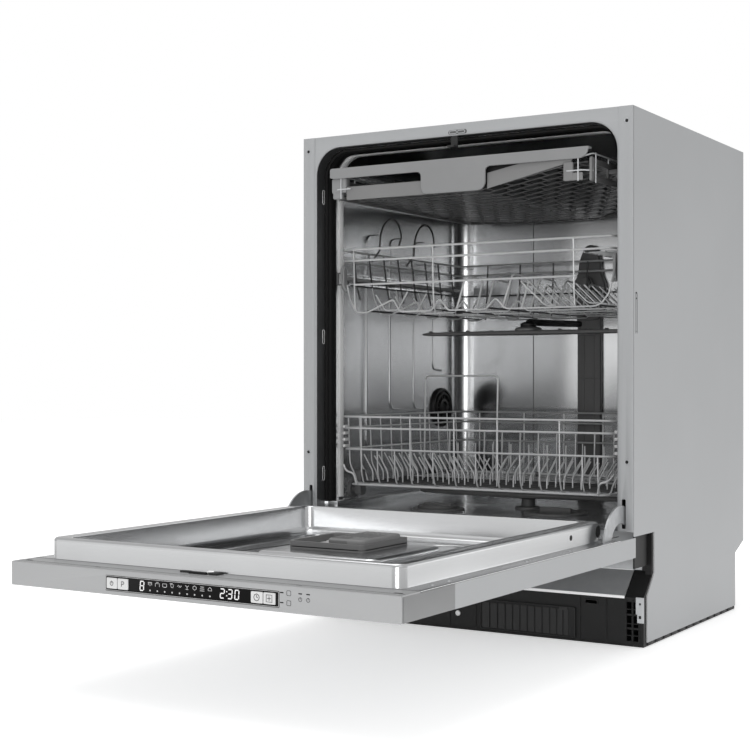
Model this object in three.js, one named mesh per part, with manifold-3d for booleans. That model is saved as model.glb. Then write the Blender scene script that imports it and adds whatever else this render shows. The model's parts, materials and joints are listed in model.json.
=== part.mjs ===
// Fully integrated dishwasher, door open. Millimetres, +Z up, +X to the right when facing the machine,
// +Y towards the back. The origin is the centre of the cabinet's footprint, at floor level.
import * as THREE from 'three';
import { mergeVertices } from 'three/addons/utils/BufferGeometryUtils.js';
import Module from 'manifold-3d';

const wasm = await Module();
wasm.setup();

// ---- Driving dimensions ----
const WIDTH = 598;
const HEIGHT = 820;
const DEPTH = 533;
const GAP = 0.3;
const SHEET = 1;
const HALF = WIDTH / 2;
const FRONT = -DEPTH / 2;

const FRAME_BOTTOM = 180;
const OPENING_HALF = 273;
const OPENING_TOP = 800.5;
const OPENING_RADIUS = 45;
const LIP_DEPTH = 24;

const TUB_HALF = 273;
const TUB_WALL = 1.2;
const TUB_BACK = 507;
const TUB_FLOOR = 184;
const TUB_CEILING = 800;

const BASE_FRONT = 46;
const BASE_BACK = 486;
const BASE_BOTTOM = 0;
const BASE_PLATE = 5;
const BASE_TOP = 75;
const POST_INNER = 267;
const POST_BACK = 84;
const POST_TOP = 111;

const FEET = [[-240, 120], [240, 120], [0, 400]];
const FOOT_RADIUS = 19;

const DOOR_HALF = 297;
const DOOR_LOW = 140.5;
const DOOR_HIGH = 171.8;
const DOOR_END = 15;
const FASCIA_FRONT = -676;
const FASCIA_BACK = -552;
const PIVOT = { depth: -16.75, height: (DOOR_LOW + DOOR_HIGH) / 2 + 0.6 };

const LINER_HALF = 272;
const LINER_FRONT = -632;
const LINER_BACK = -57;
const LINER_RADIUS = 14;
const LINER_WALL = 2.5;
const LINER_LAND = 25;
const LINER_LIP = 8.5;
const LINER_FLOOR = 156;
const LINER_RIM = 200;
const LATCH_FRONT = -652;

const WINDOW_HALF = 133;
const WINDOW_LOW = 146;
const WINDOW_HIGH = 164.5;
const BUTTON_WIDTH = 17;
const BUTTON_LOW = 148.5;
const BUTTON_HIGH = 162;
const BUTTON_LEFTS = [-131, -113, 93, 111];

const ARM_X = 5;
const ARM_DEPTH = 250;
const ARM_LENGTH = 205;
const FILTER = { x: 85, depth: 190, radius: 42 };
const SALT = { x: -120, depth: 150, radius: 34 };

const TRAY = { front: -15, back: 478, half: 236, low: 708, high: 762.5 };
const UPPER = { front: 42, back: 478, half: 255, low: 521, high: 633, taper: 0.93 };
const LOWER = { front: 42, back: 482, half: 255, low: 228, high: 347, taper: 0.95 };
const BASKET_WALL = 5;
const RUNNER_HALF = 265;
const WHEEL = { x: 260, radius: 16, width: 7, front: 95, back: 430, track: 200.5 };

// ---- Solids ----
const along = (depth) => FRONT + depth;

function solid(geometry) {
  geometry.deleteAttribute('normal');
  geometry.deleteAttribute('uv');
  const merged = mergeVertices(geometry, 1e-4);
  return new wasm.Manifold(new wasm.Mesh({
    numProp: 3,
    vertProperties: new Float32Array(merged.attributes.position.array),
    triVerts: new Uint32Array(merged.index.array),
  }));
}

// A box between two values on each axis; the second pair is in depths behind the front plane.
function box([x0, x1], [d0, d1], [z0, z1]) {
  const geometry = new THREE.BoxGeometry(x1 - x0, d1 - d0, z1 - z0);
  geometry.translate((x0 + x1) / 2, along((d0 + d1) / 2), (z0 + z1) / 2);
  return solid(geometry);
}

const TURNS = { x: [0, 0, -Math.PI / 2], y: [0, 0, 0], z: [Math.PI / 2, 0, 0] };

function cylinder(axis, radius, length, [x, depth, z], sides = 24) {
  const geometry = new THREE.CylinderGeometry(radius, radius, length, sides);
  const [rx, ry, rz] = TURNS[axis];
  geometry.applyMatrix4(new THREE.Matrix4().makeRotationFromEuler(new THREE.Euler(rx, ry, rz)));
  geometry.translate(x, along(depth), z);
  return solid(geometry);
}

const AXES = {
  x: [[0, 1, 0], [0, 0, 1], [1, 0, 0]],
  y: [[1, 0, 0], [0, 0, 1], [0, -1, 0]],
  z: [[1, 0, 0], [0, 1, 0], [0, 0, 1]],
};

// A flat outline given a thickness along one axis. Across X the outline holds (depth, height), across Y
// (x, height) and across Z (x, depth).
function slab(axis, shape, from, to) {
  const length = to - from;
  const settings = { depth: length, bevelEnabled: false, curveSegments: 8 };
  const geometry = new THREE.ExtrudeGeometry(shape, settings);
  const [right, up, out] = AXES[axis].map((v) => new THREE.Vector3(...v));
  geometry.applyMatrix4(new THREE.Matrix4().makeBasis(right, up, out));
  if (axis === 'x') geometry.translate(from, FRONT, 0);
  if (axis === 'y') geometry.translate(0, along(to), 0);
  if (axis === 'z') geometry.translate(0, FRONT, from);
  return solid(geometry);
}

function outline(points) {
  return new THREE.Shape(points.map(([u, v]) => new THREE.Vector2(u, v)));
}

function roundedRectangle(u0, u1, v0, v1, radius) {
  const shape = new THREE.Shape();
  shape.moveTo(u0 + radius, v0);
  shape.lineTo(u1 - radius, v0);
  shape.absarc(u1 - radius, v0 + radius, radius, -Math.PI / 2, 0);
  shape.lineTo(u1, v1 - radius);
  shape.absarc(u1 - radius, v1 - radius, radius, 0, Math.PI / 2);
  shape.lineTo(u0 + radius, v1);
  shape.absarc(u0 + radius, v1 - radius, radius, Math.PI / 2, Math.PI);
  shape.lineTo(u0, v0 + radius);
  shape.absarc(u0 + radius, v0 + radius, radius, Math.PI, 1.5 * Math.PI);
  return shape;
}

// An arch with a flat foot, rounded at its two top corners.
function arch(half, foot, top, radius) {
  const shape = new THREE.Shape();
  shape.moveTo(-half, foot);
  shape.lineTo(half, foot);
  shape.lineTo(half, top - radius);
  shape.absarc(half - radius, top - radius, radius, 0, Math.PI / 2);
  shape.lineTo(radius - half, top);
  shape.absarc(radius - half, top - radius, radius, Math.PI / 2, Math.PI);
  return shape;
}

const join = (first, ...rest) => rest.reduce((sum, part) => sum.add(part), first);
const cut = (first, ...rest) => rest.reduce((left, part) => left.subtract(part), first);
const mirrored = (shape) => shape.mirror([1, 0, 0]);

// ---- Materials ----
function material(color, roughness, metalness = 0) {
  return new THREE.MeshStandardMaterial({ color, roughness, metalness });
}

const paintedSteel = material(0x8f9194, 0.5, 0.3);
const stainless = material(0xb9bcbe, 0.3, 0.9);
const zincSteel = material(0x9a9da0, 0.45, 0.7);
const blackPlastic = material(0x222325, 0.6);
const greyPlastic = material(0x6d7175, 0.55);
const silverPlastic = material(0xb4b6b8, 0.4, 0.2);
const windowGloss = material(0x0b0b0d, 0.15);
const rubber = material(0x151617, 0.8);
const greyWire = material(0xa4a8ab, 0.5);
const felt = material(0x2c2d2f, 0.95);
const castIron = material(0x4a4a4a, 0.8, 0.4);
const whitePlastic = material(0xe4e4e0, 0.5);

const dishwasher = new THREE.Group();

function add(name, look, shape) {
  const { numProp, vertProperties, triVerts } = shape.getMesh();
  const geometry = new THREE.BufferGeometry();
  const positions = new Float32Array((vertProperties.length / numProp) * 3);
  for (let i = 0; i < positions.length / 3; i += 1) {
    for (let k = 0; k < 3; k += 1) positions[3 * i + k] = vertProperties[numProp * i + k];
  }
  geometry.setAttribute('position', new THREE.BufferAttribute(positions, 3));
  geometry.setIndex(new THREE.BufferAttribute(new Uint32Array(triVerts), 1));
  geometry.computeVertexNormals();
  const mesh = new THREE.Mesh(geometry, look);
  mesh.name = name;
  dishwasher.add(mesh);
}

function addPair(name, look, right) {
  add(`${name}_right`, look, right);
  add(`${name}_left`, look, mirrored(right));
}

// ---- Cabinet shell ----
// A side sheet is cut away at the front for the door's hinge and at the back for the pipes.
function sidePanel() {
  const sheetFront = 1.8;
  const footFront = 57;
  const side = outline([
    [footFront, 6], [BASE_BACK, 6], [BASE_BACK, 100], [DEPTH, 118], [DEPTH, HEIGHT], [sheetFront, HEIGHT],
    [sheetFront, 173], [87, 173], [87, 110], [footFront, 77],
  ]);
  const foldedEdge = box([HALF - 12, HALF], [30, DEPTH - 30], [HEIGHT - SHEET, HEIGHT]);
  const tab = box([HALF - SHEET - 4, HALF], [9, 16], [480, 540]);
  return cut(join(slab('x', side, HALF - SHEET, HALF), foldedEdge), tab);
}

// The ring that the door closes on: flat flanges with a lip folded back into the tub.
function frontFrame() {
  const outer = box([-HALF, HALF], [0, 1.5], [FRAME_BOTTOM, HEIGHT]);
  const lip = arch(OPENING_HALF + 1.2, FRAME_BOTTOM + 20, OPENING_TOP + 1.2, OPENING_RADIUS + 1.2);
  const lipOuter = slab('y', lip, 0.5, LIP_DEPTH);
  const opening = arch(OPENING_HALF, FRAME_BOTTOM - 5, OPENING_TOP, OPENING_RADIUS);
  const hole = slab('y', opening, -1, LIP_DEPTH + 1);
  const strikerSlot = box([-14, 0], [1.5, 4.3], [OPENING_TOP - 1, OPENING_TOP + 2]);
  let frame = cut(join(outer, lipOuter), hole, strikerSlot);
  for (const side of [-1, 1]) {
    const slotEdges = [side * 284 - 3.2, side * 284 + 3.2];
    frame = cut(frame, box(slotEdges, [-1, 3], [184.5, 229]));
    for (const z of [285, 797.5]) frame = cut(frame, cylinder('y', 2.5, 6, [side * 289, 0, z], 12));
  }
  return frame;
}

function doorGasket() {
  const back = 55;
  const front = 27;
  const thickness = 6.7;
  const foot = WHEEL.track + 0.5;
  const outer = arch(TUB_HALF - GAP, foot, TUB_CEILING - GAP, OPENING_RADIUS);
  const innerHalf = TUB_HALF - GAP - thickness;
  const inner = arch(innerHalf, foot - 1, TUB_CEILING - GAP - thickness, OPENING_RADIUS - thickness);
  return cut(slab('y', outer, front, back), slab('y', inner, front - 1, back + 1));
}

function backPanel() {
  const sheet = box([-HALF + 1.3, HALF - 1.3], [DEPTH - 1.8, DEPTH - 0.8], [119, HEIGHT - 1.5]);
  const pressing = box([-210, 210], [DEPTH - 4.8, DEPTH - 1.5], [260, 700]);
  const pressingInside = box([-208, 208], [DEPTH - 3.8, DEPTH], [262, 698]);
  return cut(join(sheet, pressing), pressingInside);
}

addPair('side_panel', paintedSteel, sidePanel());
add('front_frame', paintedSteel, frontFrame());
add('door_gasket', rubber, doorGasket());
add('back_panel', zincSteel, backPanel());
add('sound_mat_top', felt, box([-284, 284], [20, 505], [803, 812]));

// ---- Wash tub ----
const tubEnd = TUB_BACK - GAP;
const tubOuter = TUB_HALF + TUB_WALL;
const tubDepths = [LIP_DEPTH + 1, tubEnd];
const wallHeights = [176, TUB_CEILING];
const ceilingHeights = [TUB_CEILING + GAP, TUB_CEILING + GAP + TUB_WALL];
addPair('tub_wall', stainless, box([TUB_HALF, tubOuter], tubDepths, wallHeights));
add('tub_ceiling', stainless, box([-TUB_HALF, TUB_HALF], tubDepths, ceilingHeights));
add('tub_wall_back', stainless, box([-tubOuter, tubOuter], [TUB_BACK, TUB_BACK + TUB_WALL], wallHeights));

// The floor's raised sides are the tracks of the lower basket's wheels.
function tubFloor() {
  const plate = box([GAP - TUB_HALF, TUB_HALF - GAP], [2, tubEnd], [TUB_FLOOR - 2, TUB_FLOOR]);
  const filterHole = cylinder('z', FILTER.radius + 3, 10, [FILTER.x, FILTER.depth, TUB_FLOOR], 32);
  const postHole = cylinder('z', 15, 10, [ARM_X, ARM_DEPTH, TUB_FLOOR], 24);
  const saltHole = cylinder('z', SALT.radius + 3, 10, [SALT.x, SALT.depth, TUB_FLOOR], 24);
  const track = box([250, TUB_HALF - GAP], [30, 490], [TUB_FLOOR - 1, WHEEL.track]);
  return cut(join(plate, track, mirrored(track)), filterHole, postHole, saltHole);
}

add('tub_floor', stainless, tubFloor());

// A flat pipe up the back wall feeds the upper spray arm.
function waterDuct() {
  const depths = [TUB_BACK - 12, TUB_BACK - GAP];
  const stem = box([-6, 32], depths, [200, 540]);
  const flare = slab('y', roundedRectangle(-16, 42, 530, 660, 20), ...depths);
  const outlet = cylinder('y', 11, 22, [13, TUB_BACK - 22, 590], 20);
  return join(stem, flare, outlet);
}

function ventCap() {
  const disc = cylinder('x', 38, 5, [-TUB_HALF + GAP + 2.5, 433, 354], 32);
  const crown = cylinder('x', 24, 9, [-TUB_HALF + GAP + 4.5, 433, 354], 24);
  return join(disc, crown);
}

// C-section rails screwed to the tub's sides: one pair for the upper basket and one for the tray.
function rail(low, high) {
  const depths = [60, 495];
  const lipWidth = [TUB_HALF - 9, TUB_HALF - 1];
  const web = box([TUB_HALF - 3, TUB_HALF - GAP], depths, [low, high]);
  return join(web, box(lipWidth, depths, [low, low + 2]), box(lipWidth, depths, [high - 2, high]));
}

add('water_duct', greyPlastic, waterDuct());
add('vent_cap', blackPlastic, ventCap());
addPair('rail_upper', stainless, rail(572, 594));
addPair('rail_tray', stainless, rail(722, 742));

// ---- Base ----
function cornerPost() {
  const side = outline([
    [BASE_FRONT, BASE_BOTTOM], [POST_BACK, BASE_BOTTOM], [POST_BACK, POST_TOP], [BASE_FRONT, BASE_TOP],
  ]);
  const upright = box([287, HALF - 1.5], [80, 92], [POST_TOP - 8, 172]);
  return join(slab('x', side, POST_INNER, HALF - 1.5), upright);
}

// Moulded ribs are what the pockets in the corner posts leave standing.
function postPockets() {
  const pockets = [];
  for (const x of [[270, 278], [281, 289]]) {
    for (let row = 0; row < 3; row += 1) {
      const low = 8 + 21 * row;
      pockets.push(box(x, [BASE_FRONT - 1, BASE_FRONT + 22], [low, low + 18]));
    }
  }
  return join(...pockets);
}

function baseTray() {
  const half = HALF - 1.5;
  const outer = box([-half, half], [BASE_FRONT, BASE_BACK], [BASE_BOTTOM, BASE_TOP]);
  const inside = box([3 - half, half - 3], [BASE_FRONT + 3, BASE_BACK - 3], [BASE_PLATE, BASE_TOP + 1]);
  const post = cornerPost();
  const pockets = postPockets();
  const serviceHole = box([22, 182], [BASE_FRONT - 1, BASE_FRONT + 4], [9, 49]);
  const plinthSlot = box([202, 221], [BASE_FRONT - 1, BASE_FRONT + 4], [61, 66]);
  const inletHole = cylinder('y', 13, 8, [-250, BASE_BACK - 1, 45], 20);
  const holes = [pockets, mirrored(pockets), serviceHole, plinthSlot, inletHole];
  for (const [x, depth] of FEET) {
    holes.push(cylinder('z', 6, 20, [x, depth, BASE_BOTTOM], 16));
    holes.push(cylinder('z', FOOT_RADIUS + 1, 6.6, [x, depth, BASE_BOTTOM], 24));
  }
  return cut(join(cut(outer, inside), post, mirrored(post)), ...holes);
}

// A levelling foot, screwed fully in: its pad sits in a recess of the base plate.
function foot([x, depth]) {
  const pad = cylinder('z', FOOT_RADIUS, 3, [x, depth, 1.5], 24);
  const stem = cylinder('z', 5, 34, [x, depth, 17], 16);
  return join(pad, stem);
}

// A bent sheet closes the gap between the base and the tub, behind the door's lower end.
function sillPanel() {
  const bend = outline([
    [BASE_FRONT + 0.4, BASE_TOP + GAP], [POST_BACK + 1.8, POST_TOP + 0.4], [POST_BACK + 1.8, 174],
    [POST_BACK + 0.4, 174], [POST_BACK + 0.4, POST_TOP + 1.6], [BASE_FRONT + 0.4, BASE_TOP + 1.8],
  ]);
  const sheet = slab('x', bend, GAP - POST_INNER, POST_INNER - GAP);
  return join(sheet, box([-281, 281], [POST_BACK + 0.4, POST_BACK + 1.8], [POST_TOP + 1.6, 174]));
}

function servicePanel() {
  const plate = box([18, 185.5], [BASE_FRONT - 2.3, BASE_FRONT - GAP], [5, 53]);
  const ribs = [];
  for (let i = 0; i < 10; i += 1) {
    const x = 20 + 17 * i;
    ribs.push(box([x, x + 10], [BASE_FRONT - 3.3, BASE_FRONT - 2], [7, 51]));
  }
  return join(plate, ...ribs);
}

function cornerBracket() {
  const plate = box([285, HALF - 1.3], [BASE_FRONT - 1.5, BASE_FRONT - GAP], [37, 76]);
  const upperHole = cylinder('y', 1.8, 6, [292, BASE_FRONT, 66], 12);
  const lowerHole = cylinder('y', 2.4, 6, [292, BASE_FRONT, 50], 12);
  return cut(plate, upperHole, lowerHole);
}

add('base_tray', blackPlastic, baseTray());
add('foot_front_left', blackPlastic, foot(FEET[0]));
add('foot_front_right', blackPlastic, foot(FEET[1]));
add('foot_rear', blackPlastic, foot(FEET[2]));
add('sill_panel', zincSteel, sillPanel());
add('service_panel', blackPlastic, servicePanel());
addPair('corner_bracket', zincSteel, cornerBracket());

// ---- Works in the base ----
function sumpHousing() {
  const bowl = cylinder('z', 92, 76, [50, 218, 143.5], 32);
  const filterWell = cylinder('z', FILTER.radius + 1, 70, [FILTER.x, FILTER.depth, 151.5], 32);
  const armPost = cylinder('z', 12, 22, [ARM_X, ARM_DEPTH, 189], 24);
  return cut(join(bowl, armPost), filterWell);
}

function filterCup() {
  const body = cylinder('z', FILTER.radius, 66, [FILTER.x, FILTER.depth, 151], 32);
  const grip = box([FILTER.x - 30, FILTER.x + 30], [FILTER.depth - 5, FILTER.depth + 5], [183, 193]);
  return join(body, grip);
}

function saltCap() {
  const cap = cylinder('z', SALT.radius, 7, [SALT.x, SALT.depth, 188], 28);
  const grip = box([SALT.x - 28, SALT.x + 28], [SALT.depth - 4, SALT.depth + 4], [191, 194.5]);
  const plug = cylinder('z', SALT.radius - 6, 14, [SALT.x, SALT.depth, 178.5], 24);
  return join(cap, grip, plug);
}

function softenerTank() {
  const tank = box([-200, -52], [100, 205], [95, 181.5]);
  const neck = cylinder('z', SALT.radius - 4, 30, [SALT.x, SALT.depth, 174], 24);
  return cut(tank, neck);
}

function washPump() {
  const motor = cylinder('x', 42, 110, [-140, 330, 60], 28);
  const volute = cylinder('x', 50, 34, [-70, 330, 60], 28);
  const outlet = box([-80, -60], [300, 322], [95, 150]);
  return join(motor, volute, outlet);
}

function drainPump() {
  const motor = cylinder('x', 26, 62, [170, 320, 45], 24);
  const spout = cylinder('z', 10, 50, [145, 320, 85], 16);
  return join(motor, spout);
}

function inletValve() {
  const body = box([-272, -232], [430, 478], [20, 62]);
  const thread = cylinder('y', 10, 40, [-250, 490, 45], 20);
  return join(body, thread);
}

add('sump_housing', greyPlastic, sumpHousing());
add('filter_cup', greyPlastic, filterCup());
add('softener_tank', whitePlastic, softenerTank());
add('salt_cap', greyPlastic, saltCap());
add('wash_pump', blackPlastic, washPump());
add('drain_pump', whitePlastic, drainPump());
add('inlet_valve', whitePlastic, inletValve());
add('counterweight', castIron, box([-200, 200], [434, 479], [8, 66]));

// ---- Spray arms ----
// A flat blade that narrows to its round ends, turning on a hub.
function sprayArm(z, length, thickness) {
  const end = 13;
  const waist = 30;
  const blade = new THREE.Shape();
  blade.moveTo(-length, -end);
  blade.quadraticCurveTo(-length / 3, -waist + 4, 0, -waist);
  blade.quadraticCurveTo(length / 3, -waist + 4, length, -end);
  blade.absarc(length, 0, end, -Math.PI / 2, Math.PI / 2);
  blade.quadraticCurveTo(length / 3, waist - 4, 0, waist);
  blade.quadraticCurveTo(-length / 3, waist - 4, -length, end);
  blade.absarc(-length, 0, end, Math.PI / 2, 1.5 * Math.PI);
  const body = slab('z', blade, z, z + thickness).translate([ARM_X, ARM_DEPTH, 0]);
  const hub = cylinder('z', 24, thickness + 6, [ARM_X, ARM_DEPTH, z + thickness / 2 + 3], 24);
  return join(body, hub);
}

add('spray_arm_lower', greyPlastic, sprayArm(201, ARM_LENGTH, 11));
add('spray_arm_upper', blackPlastic, sprayArm(486, ARM_LENGTH - 5, 9));

// ---- Door ----
function doorOuterPanel() {
  const start = FASCIA_BACK + GAP;
  const innerHalf = DOOR_HALF - SHEET;
  const outer = box([-DOOR_HALF, DOOR_HALF], [start, DOOR_END], [DOOR_LOW, DOOR_HIGH - 1.3]);
  const inside = box([-innerHalf, innerHalf], [start - 1, DOOR_END + 1], [DOOR_LOW + SHEET, DOOR_HIGH]);
  return cut(outer, inside);
}

// Deep-drawn inner sheet: a flat border, a raised rim that enters the tub, and a sunk floor inside it.
function doorInnerLiner() {
  const ring = (side, end, radius) => roundedRectangle(
    side - LINER_HALF, LINER_HALF - side, LINER_FRONT + end, LINER_BACK - end, radius,
  );
  const wall = LINER_WALL;
  const basin = ring(LINER_LAND, LINER_LIP, LINER_RADIUS);
  const underLand = cut(
    slab('z', ring(wall, wall, LINER_RADIUS - wall), LINER_FLOOR - 2, LINER_RIM - wall),
    slab('z', ring(LINER_LAND - wall, LINER_LIP - wall, LINER_RADIUS + wall), LINER_FLOOR - 3, LINER_RIM),
  );
  const borderLow = DOOR_HIGH - 1;
  const border = box([-DOOR_HALF, DOOR_HALF], [LINER_FRONT - 0.7, -45], [borderLow, DOOR_HIGH]);
  const tail = box([-LINER_HALF, LINER_HALF], [-46, 10], [borderLow, DOOR_HIGH]);
  const dish = join(slab('z', ring(0, 0, LINER_RADIUS), LINER_FLOOR - 1, LINER_RIM), border, tail);
  const armSlot = box([281.5, 286.5], [-84, -40], [borderLow - 1, DOOR_HIGH + 1]);
  const hollow = slab('z', basin, LINER_FLOOR, LINER_RIM + 1);
  return cut(dish, hollow, underLand, armSlot, mirrored(armSlot));
}

// The top edge of the door: a moulding whose front face carries the controls. The liner lies in its back.
function controlFascia() {
  const block = box([-DOOR_HALF, DOOR_HALF], [FASCIA_FRONT, FASCIA_BACK], [DOOR_LOW, DOOR_HIGH]);
  const linerDepths = [LINER_FRONT - 1, FASCIA_BACK + 1];
  const borderRoom = box([-HALF, HALF], linerDepths, [DOOR_HIGH - 1.3, DOOR_HIGH + 1]);
  const linerRoom = box([-LINER_HALF - 1, LINER_HALF + 1], linerDepths, [LINER_FLOOR - 1.3, DOOR_HIGH]);
  const windowDepths = [FASCIA_FRONT - 1, FASCIA_FRONT + 6];
  const windowHalf = WINDOW_HALF + GAP;
  const windowRoom = box([-windowHalf, windowHalf], windowDepths, [WINDOW_LOW - GAP, WINDOW_HIGH + GAP]);
  const latchRoom = box([-21.3, 7.3], [LATCH_FRONT - GAP, LINER_FRONT], [149.7, DOOR_HIGH + 1]);
  return cut(block, borderRoom, linerRoom, windowRoom, latchRoom);
}

function displayWindow() {
  const depths = [FASCIA_FRONT + 0.2, FASCIA_FRONT + 5.7];
  const plate = box([-WINDOW_HALF, WINDOW_HALF], depths, [WINDOW_LOW, WINDOW_HIGH]);
  const wellDepths = [FASCIA_FRONT - 1, FASCIA_FRONT + 4.5];
  const wellHeights = [BUTTON_LOW - GAP, BUTTON_HIGH + GAP];
  const wells = BUTTON_LEFTS.map((x) => box([x - GAP, x + BUTTON_WIDTH + GAP], wellDepths, wellHeights));
  return cut(plate, ...wells);
}

function doorLatch() {
  const block = box([-21, 7], [LATCH_FRONT, LINER_FRONT - 1.3], [150, DOOR_HIGH + 0.4]);
  const mouth = box([-15.5, 1.5], [LATCH_FRONT + 4, LATCH_FRONT + 15], [157.5, DOOR_HIGH + 1]);
  return cut(block, mouth);
}

// The tongue hangs behind the frame's top and reaches forward into the latch of the closed door.
function doorStriker() {
  const plate = box([-20, 6], [1.8, 3.8], [803, 816]);
  const neck = box([-13, -1], [1.8, 3.8], [781, 804]);
  const tongue = box([-13, -1], [-11, 3.8], [781, 784]);
  return join(plate, neck, tongue);
}

function dispenserBody() {
  const low = LINER_FLOOR + GAP;
  const body = slab('z', roundedRectangle(-97, 31, -333, -205, 8), low, 172);
  const chamber = box([-90, -37], [-325, -219], [160, 173]);
  const rinseDoor = box([-93, 29], [-217, -207], [171, 172.5]);
  return cut(join(body, rinseDoor), chamber);
}

function dispenserLid() {
  return slab('z', roundedRectangle(-34, 29, -329, -220, 9), 172.8, 185.5);
}

add('door_outer_panel', paintedSteel, doorOuterPanel());
add('door_inner_liner', stainless, doorInnerLiner());
add('control_fascia', silverPlastic, controlFascia());
add('display_window', windowGloss, displayWindow());
add('door_latch', blackPlastic, doorLatch());
add('door_striker', zincSteel, doorStriker());
add('dispenser_body', greyPlastic, dispenserBody());
add('dispenser_lid', greyPlastic, dispenserLid());
BUTTON_LEFTS.forEach((x, i) => {
  const depths = [FASCIA_FRONT - 0.6, FASCIA_FRONT + 2];
  add(`button_${i + 1}`, silverPlastic, box([x, x + BUTTON_WIDTH], depths, [BUTTON_LOW, BUTTON_HIGH]));
});

// ---- Hinges ----
const fromPivot = (angle, radius) => [
  PIVOT.depth + radius * Math.cos(angle),
  PIVOT.height + radius * Math.sin(angle),
];
const degrees = (value) => (value * Math.PI) / 180;

// The arm's blade is an arc about the pivot, so it slides through one slot in the frame as the door turns.
function hingeArm() {
  const [x0, x1] = [282.6, 285.4];
  const blade = new THREE.Shape();
  blade.moveTo(...fromPivot(degrees(186), 38));
  blade.absarc(PIVOT.depth, PIVOT.height, 64, degrees(186), degrees(62), true);
  blade.absarc(PIVOT.depth, PIVOT.height, 38, degrees(62), degrees(186), false);
  const stem = box([x0, x1], [-130, PIVOT.depth], [146, 167]);
  const eye = cylinder('x', 11, x1 - x0, [(x0 + x1) / 2, PIVOT.depth, PIVOT.height], 24);
  const pinHole = cylinder('x', 4.5, 10, [284, PIVOT.depth, PIVOT.height], 20);
  return cut(join(slab('x', blade, x0, x1), stem, eye), pinHole);
}

// The bracket carries the pivot pin out under the front frame, and stands behind it in the cabinet.
function hingeBracket() {
  const [x0, x1] = [289, 291.5];
  const nose = cylinder('x', 9, x1 - x0, [(x0 + x1) / 2, PIVOT.depth, PIVOT.height], 24);
  const tongue = box([x0, x1], [PIVOT.depth, 40], [151, 165]);
  const plate = box([x0, x1], [24, 79], [122, 250]);
  const pin = cylinder('x', 4, 11, [(281.3 + x1) / 2, PIVOT.depth, PIVOT.height], 20);
  return join(nose, tongue, plate, pin);
}

addPair('hinge_arm', zincSteel, hingeArm());
addPair('hinge_bracket', zincSteel, hingeBracket());

// ---- Racks ----
// An open-topped box of welded wire, drawn as flat lattice walls that lean in towards the floor.
function basket({ front, back, half, low, high, taper }, windows) {
  const outer = box([-half, half], [front, back], [low, high]);
  const wall = BASKET_WALL;
  const inside = box([wall - half, half - wall], [front + wall, back - wall], [low + wall, high + 1]);
  let lattice = cut(outer, inside);
  const margin = 14;
  const spans = (from, to, count) => {
    const pitch = (to - from - margin) / count;
    return Array.from({ length: count }, (_, i) => [from + margin + i * pitch, from + (i + 1) * pitch]);
  };
  const across = spans(-half, half, windows);
  const deep = spans(front, back, windows);
  for (const x of across) {
    lattice = cut(lattice, box(x, [front - 1, back + 1], [low + 22, high - 16]));
    for (const d of deep) lattice = cut(lattice, box(x, d, [low - 1, low + wall + 1]));
  }
  for (const d of deep) lattice = cut(lattice, box([-half - 1, half + 1], d, [low + 22, high - 16]));
  const middle = along((front + back) / 2);
  return lattice.warp((point) => {
    const rise = (point[2] - low) / (high - low);
    const scale = taper + (1 - taper) * rise;
    point[0] *= scale;
    point[1] = middle + (point[1] - middle) * scale;
  });
}

function cutleryTray() {
  const { front, back, half, low, high } = TRAY;
  const outer = slab('z', roundedRectangle(-half, half, front, back, 12), low + 14, high);
  const hollow = roundedRectangle(4 - half, half - 4, front + 4, back - 4, 9);
  const inside = slab('z', hollow, low + 18, high + 1);
  const handle = slab('y', roundedRectangle(-60, 57, low, low + 40, 14), front, front + 4);
  const guide = box([half - 1, RUNNER_HALF], [60, back - 10], [727, 737]);
  let tray = join(cut(outer, inside), handle, guide, mirrored(guide));
  for (let i = 0; i < 5; i += 1) {
    const x = 30 - half + i * 84;
    tray = cut(tray, box([x, x + 76], [30, 440], [low + 13, low + 19]));
  }
  return tray;
}

function cupShelf() {
  const shelf = box([168, 240], [110, 410], [612, 616]);
  const slots = [];
  for (let i = 0; i < 6; i += 1) slots.push(box([176, 232], [120 + 48 * i, 156 + 48 * i], [610, 618]));
  const rod = cylinder('y', 3, 300, [240, 260, 614], 12);
  return join(cut(shelf, ...slots), rod);
}

function tineRow() {
  const rod = cylinder('x', 3, 380, [0, 300, LOWER.low + 12], 12);
  const tines = [];
  for (let i = 0; i < 11; i += 1) {
    tines.push(cylinder('z', 2.2, 78, [-180 + 36 * i, 300, LOWER.low + 50], 8));
  }
  return join(rod, ...tines);
}

function wheel(x, depth) {
  const height = WHEEL.track + 0.5 + WHEEL.radius;
  const tyre = cylinder('x', WHEEL.radius, WHEEL.width, [x, depth, height], 28);
  const hub = cylinder('x', 6, WHEEL.width + 3, [x - Math.sign(x) * 1.5, depth, height], 16);
  return join(tyre, hub);
}

function upperBasket() {
  const runner = box([UPPER.half - 13, RUNNER_HALF], [70, 470], [578, 588]);
  return join(basket(UPPER, 5), runner, mirrored(runner));
}

function lowerBasket() {
  const lugWidth = [LOWER.half - 17, WHEEL.x - 7.5];
  const lug = (depth) => box(lugWidth, [depth - 7, depth + 7], [212, LOWER.low + 12]);
  const lugs = [lug(WHEEL.front), lug(WHEEL.back)];
  return join(basket(LOWER, 5), ...lugs, ...lugs.map(mirrored));
}

add('cutlery_tray', greyPlastic, cutleryTray());
add('upper_basket', greyWire, upperBasket());
add('cup_shelf', greyWire, cupShelf());
add('lower_basket', greyWire, lowerBasket());
add('tine_row', greyWire, tineRow());
for (const [side, x] of [['left', -WHEEL.x], ['right', WHEEL.x]]) {
  add(`wheel_front_${side}`, greyPlastic, wheel(x, WHEEL.front));
  add(`wheel_rear_${side}`, greyPlastic, wheel(x, WHEEL.back));
}

export default dishwasher;
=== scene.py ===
import json
import math

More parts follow.
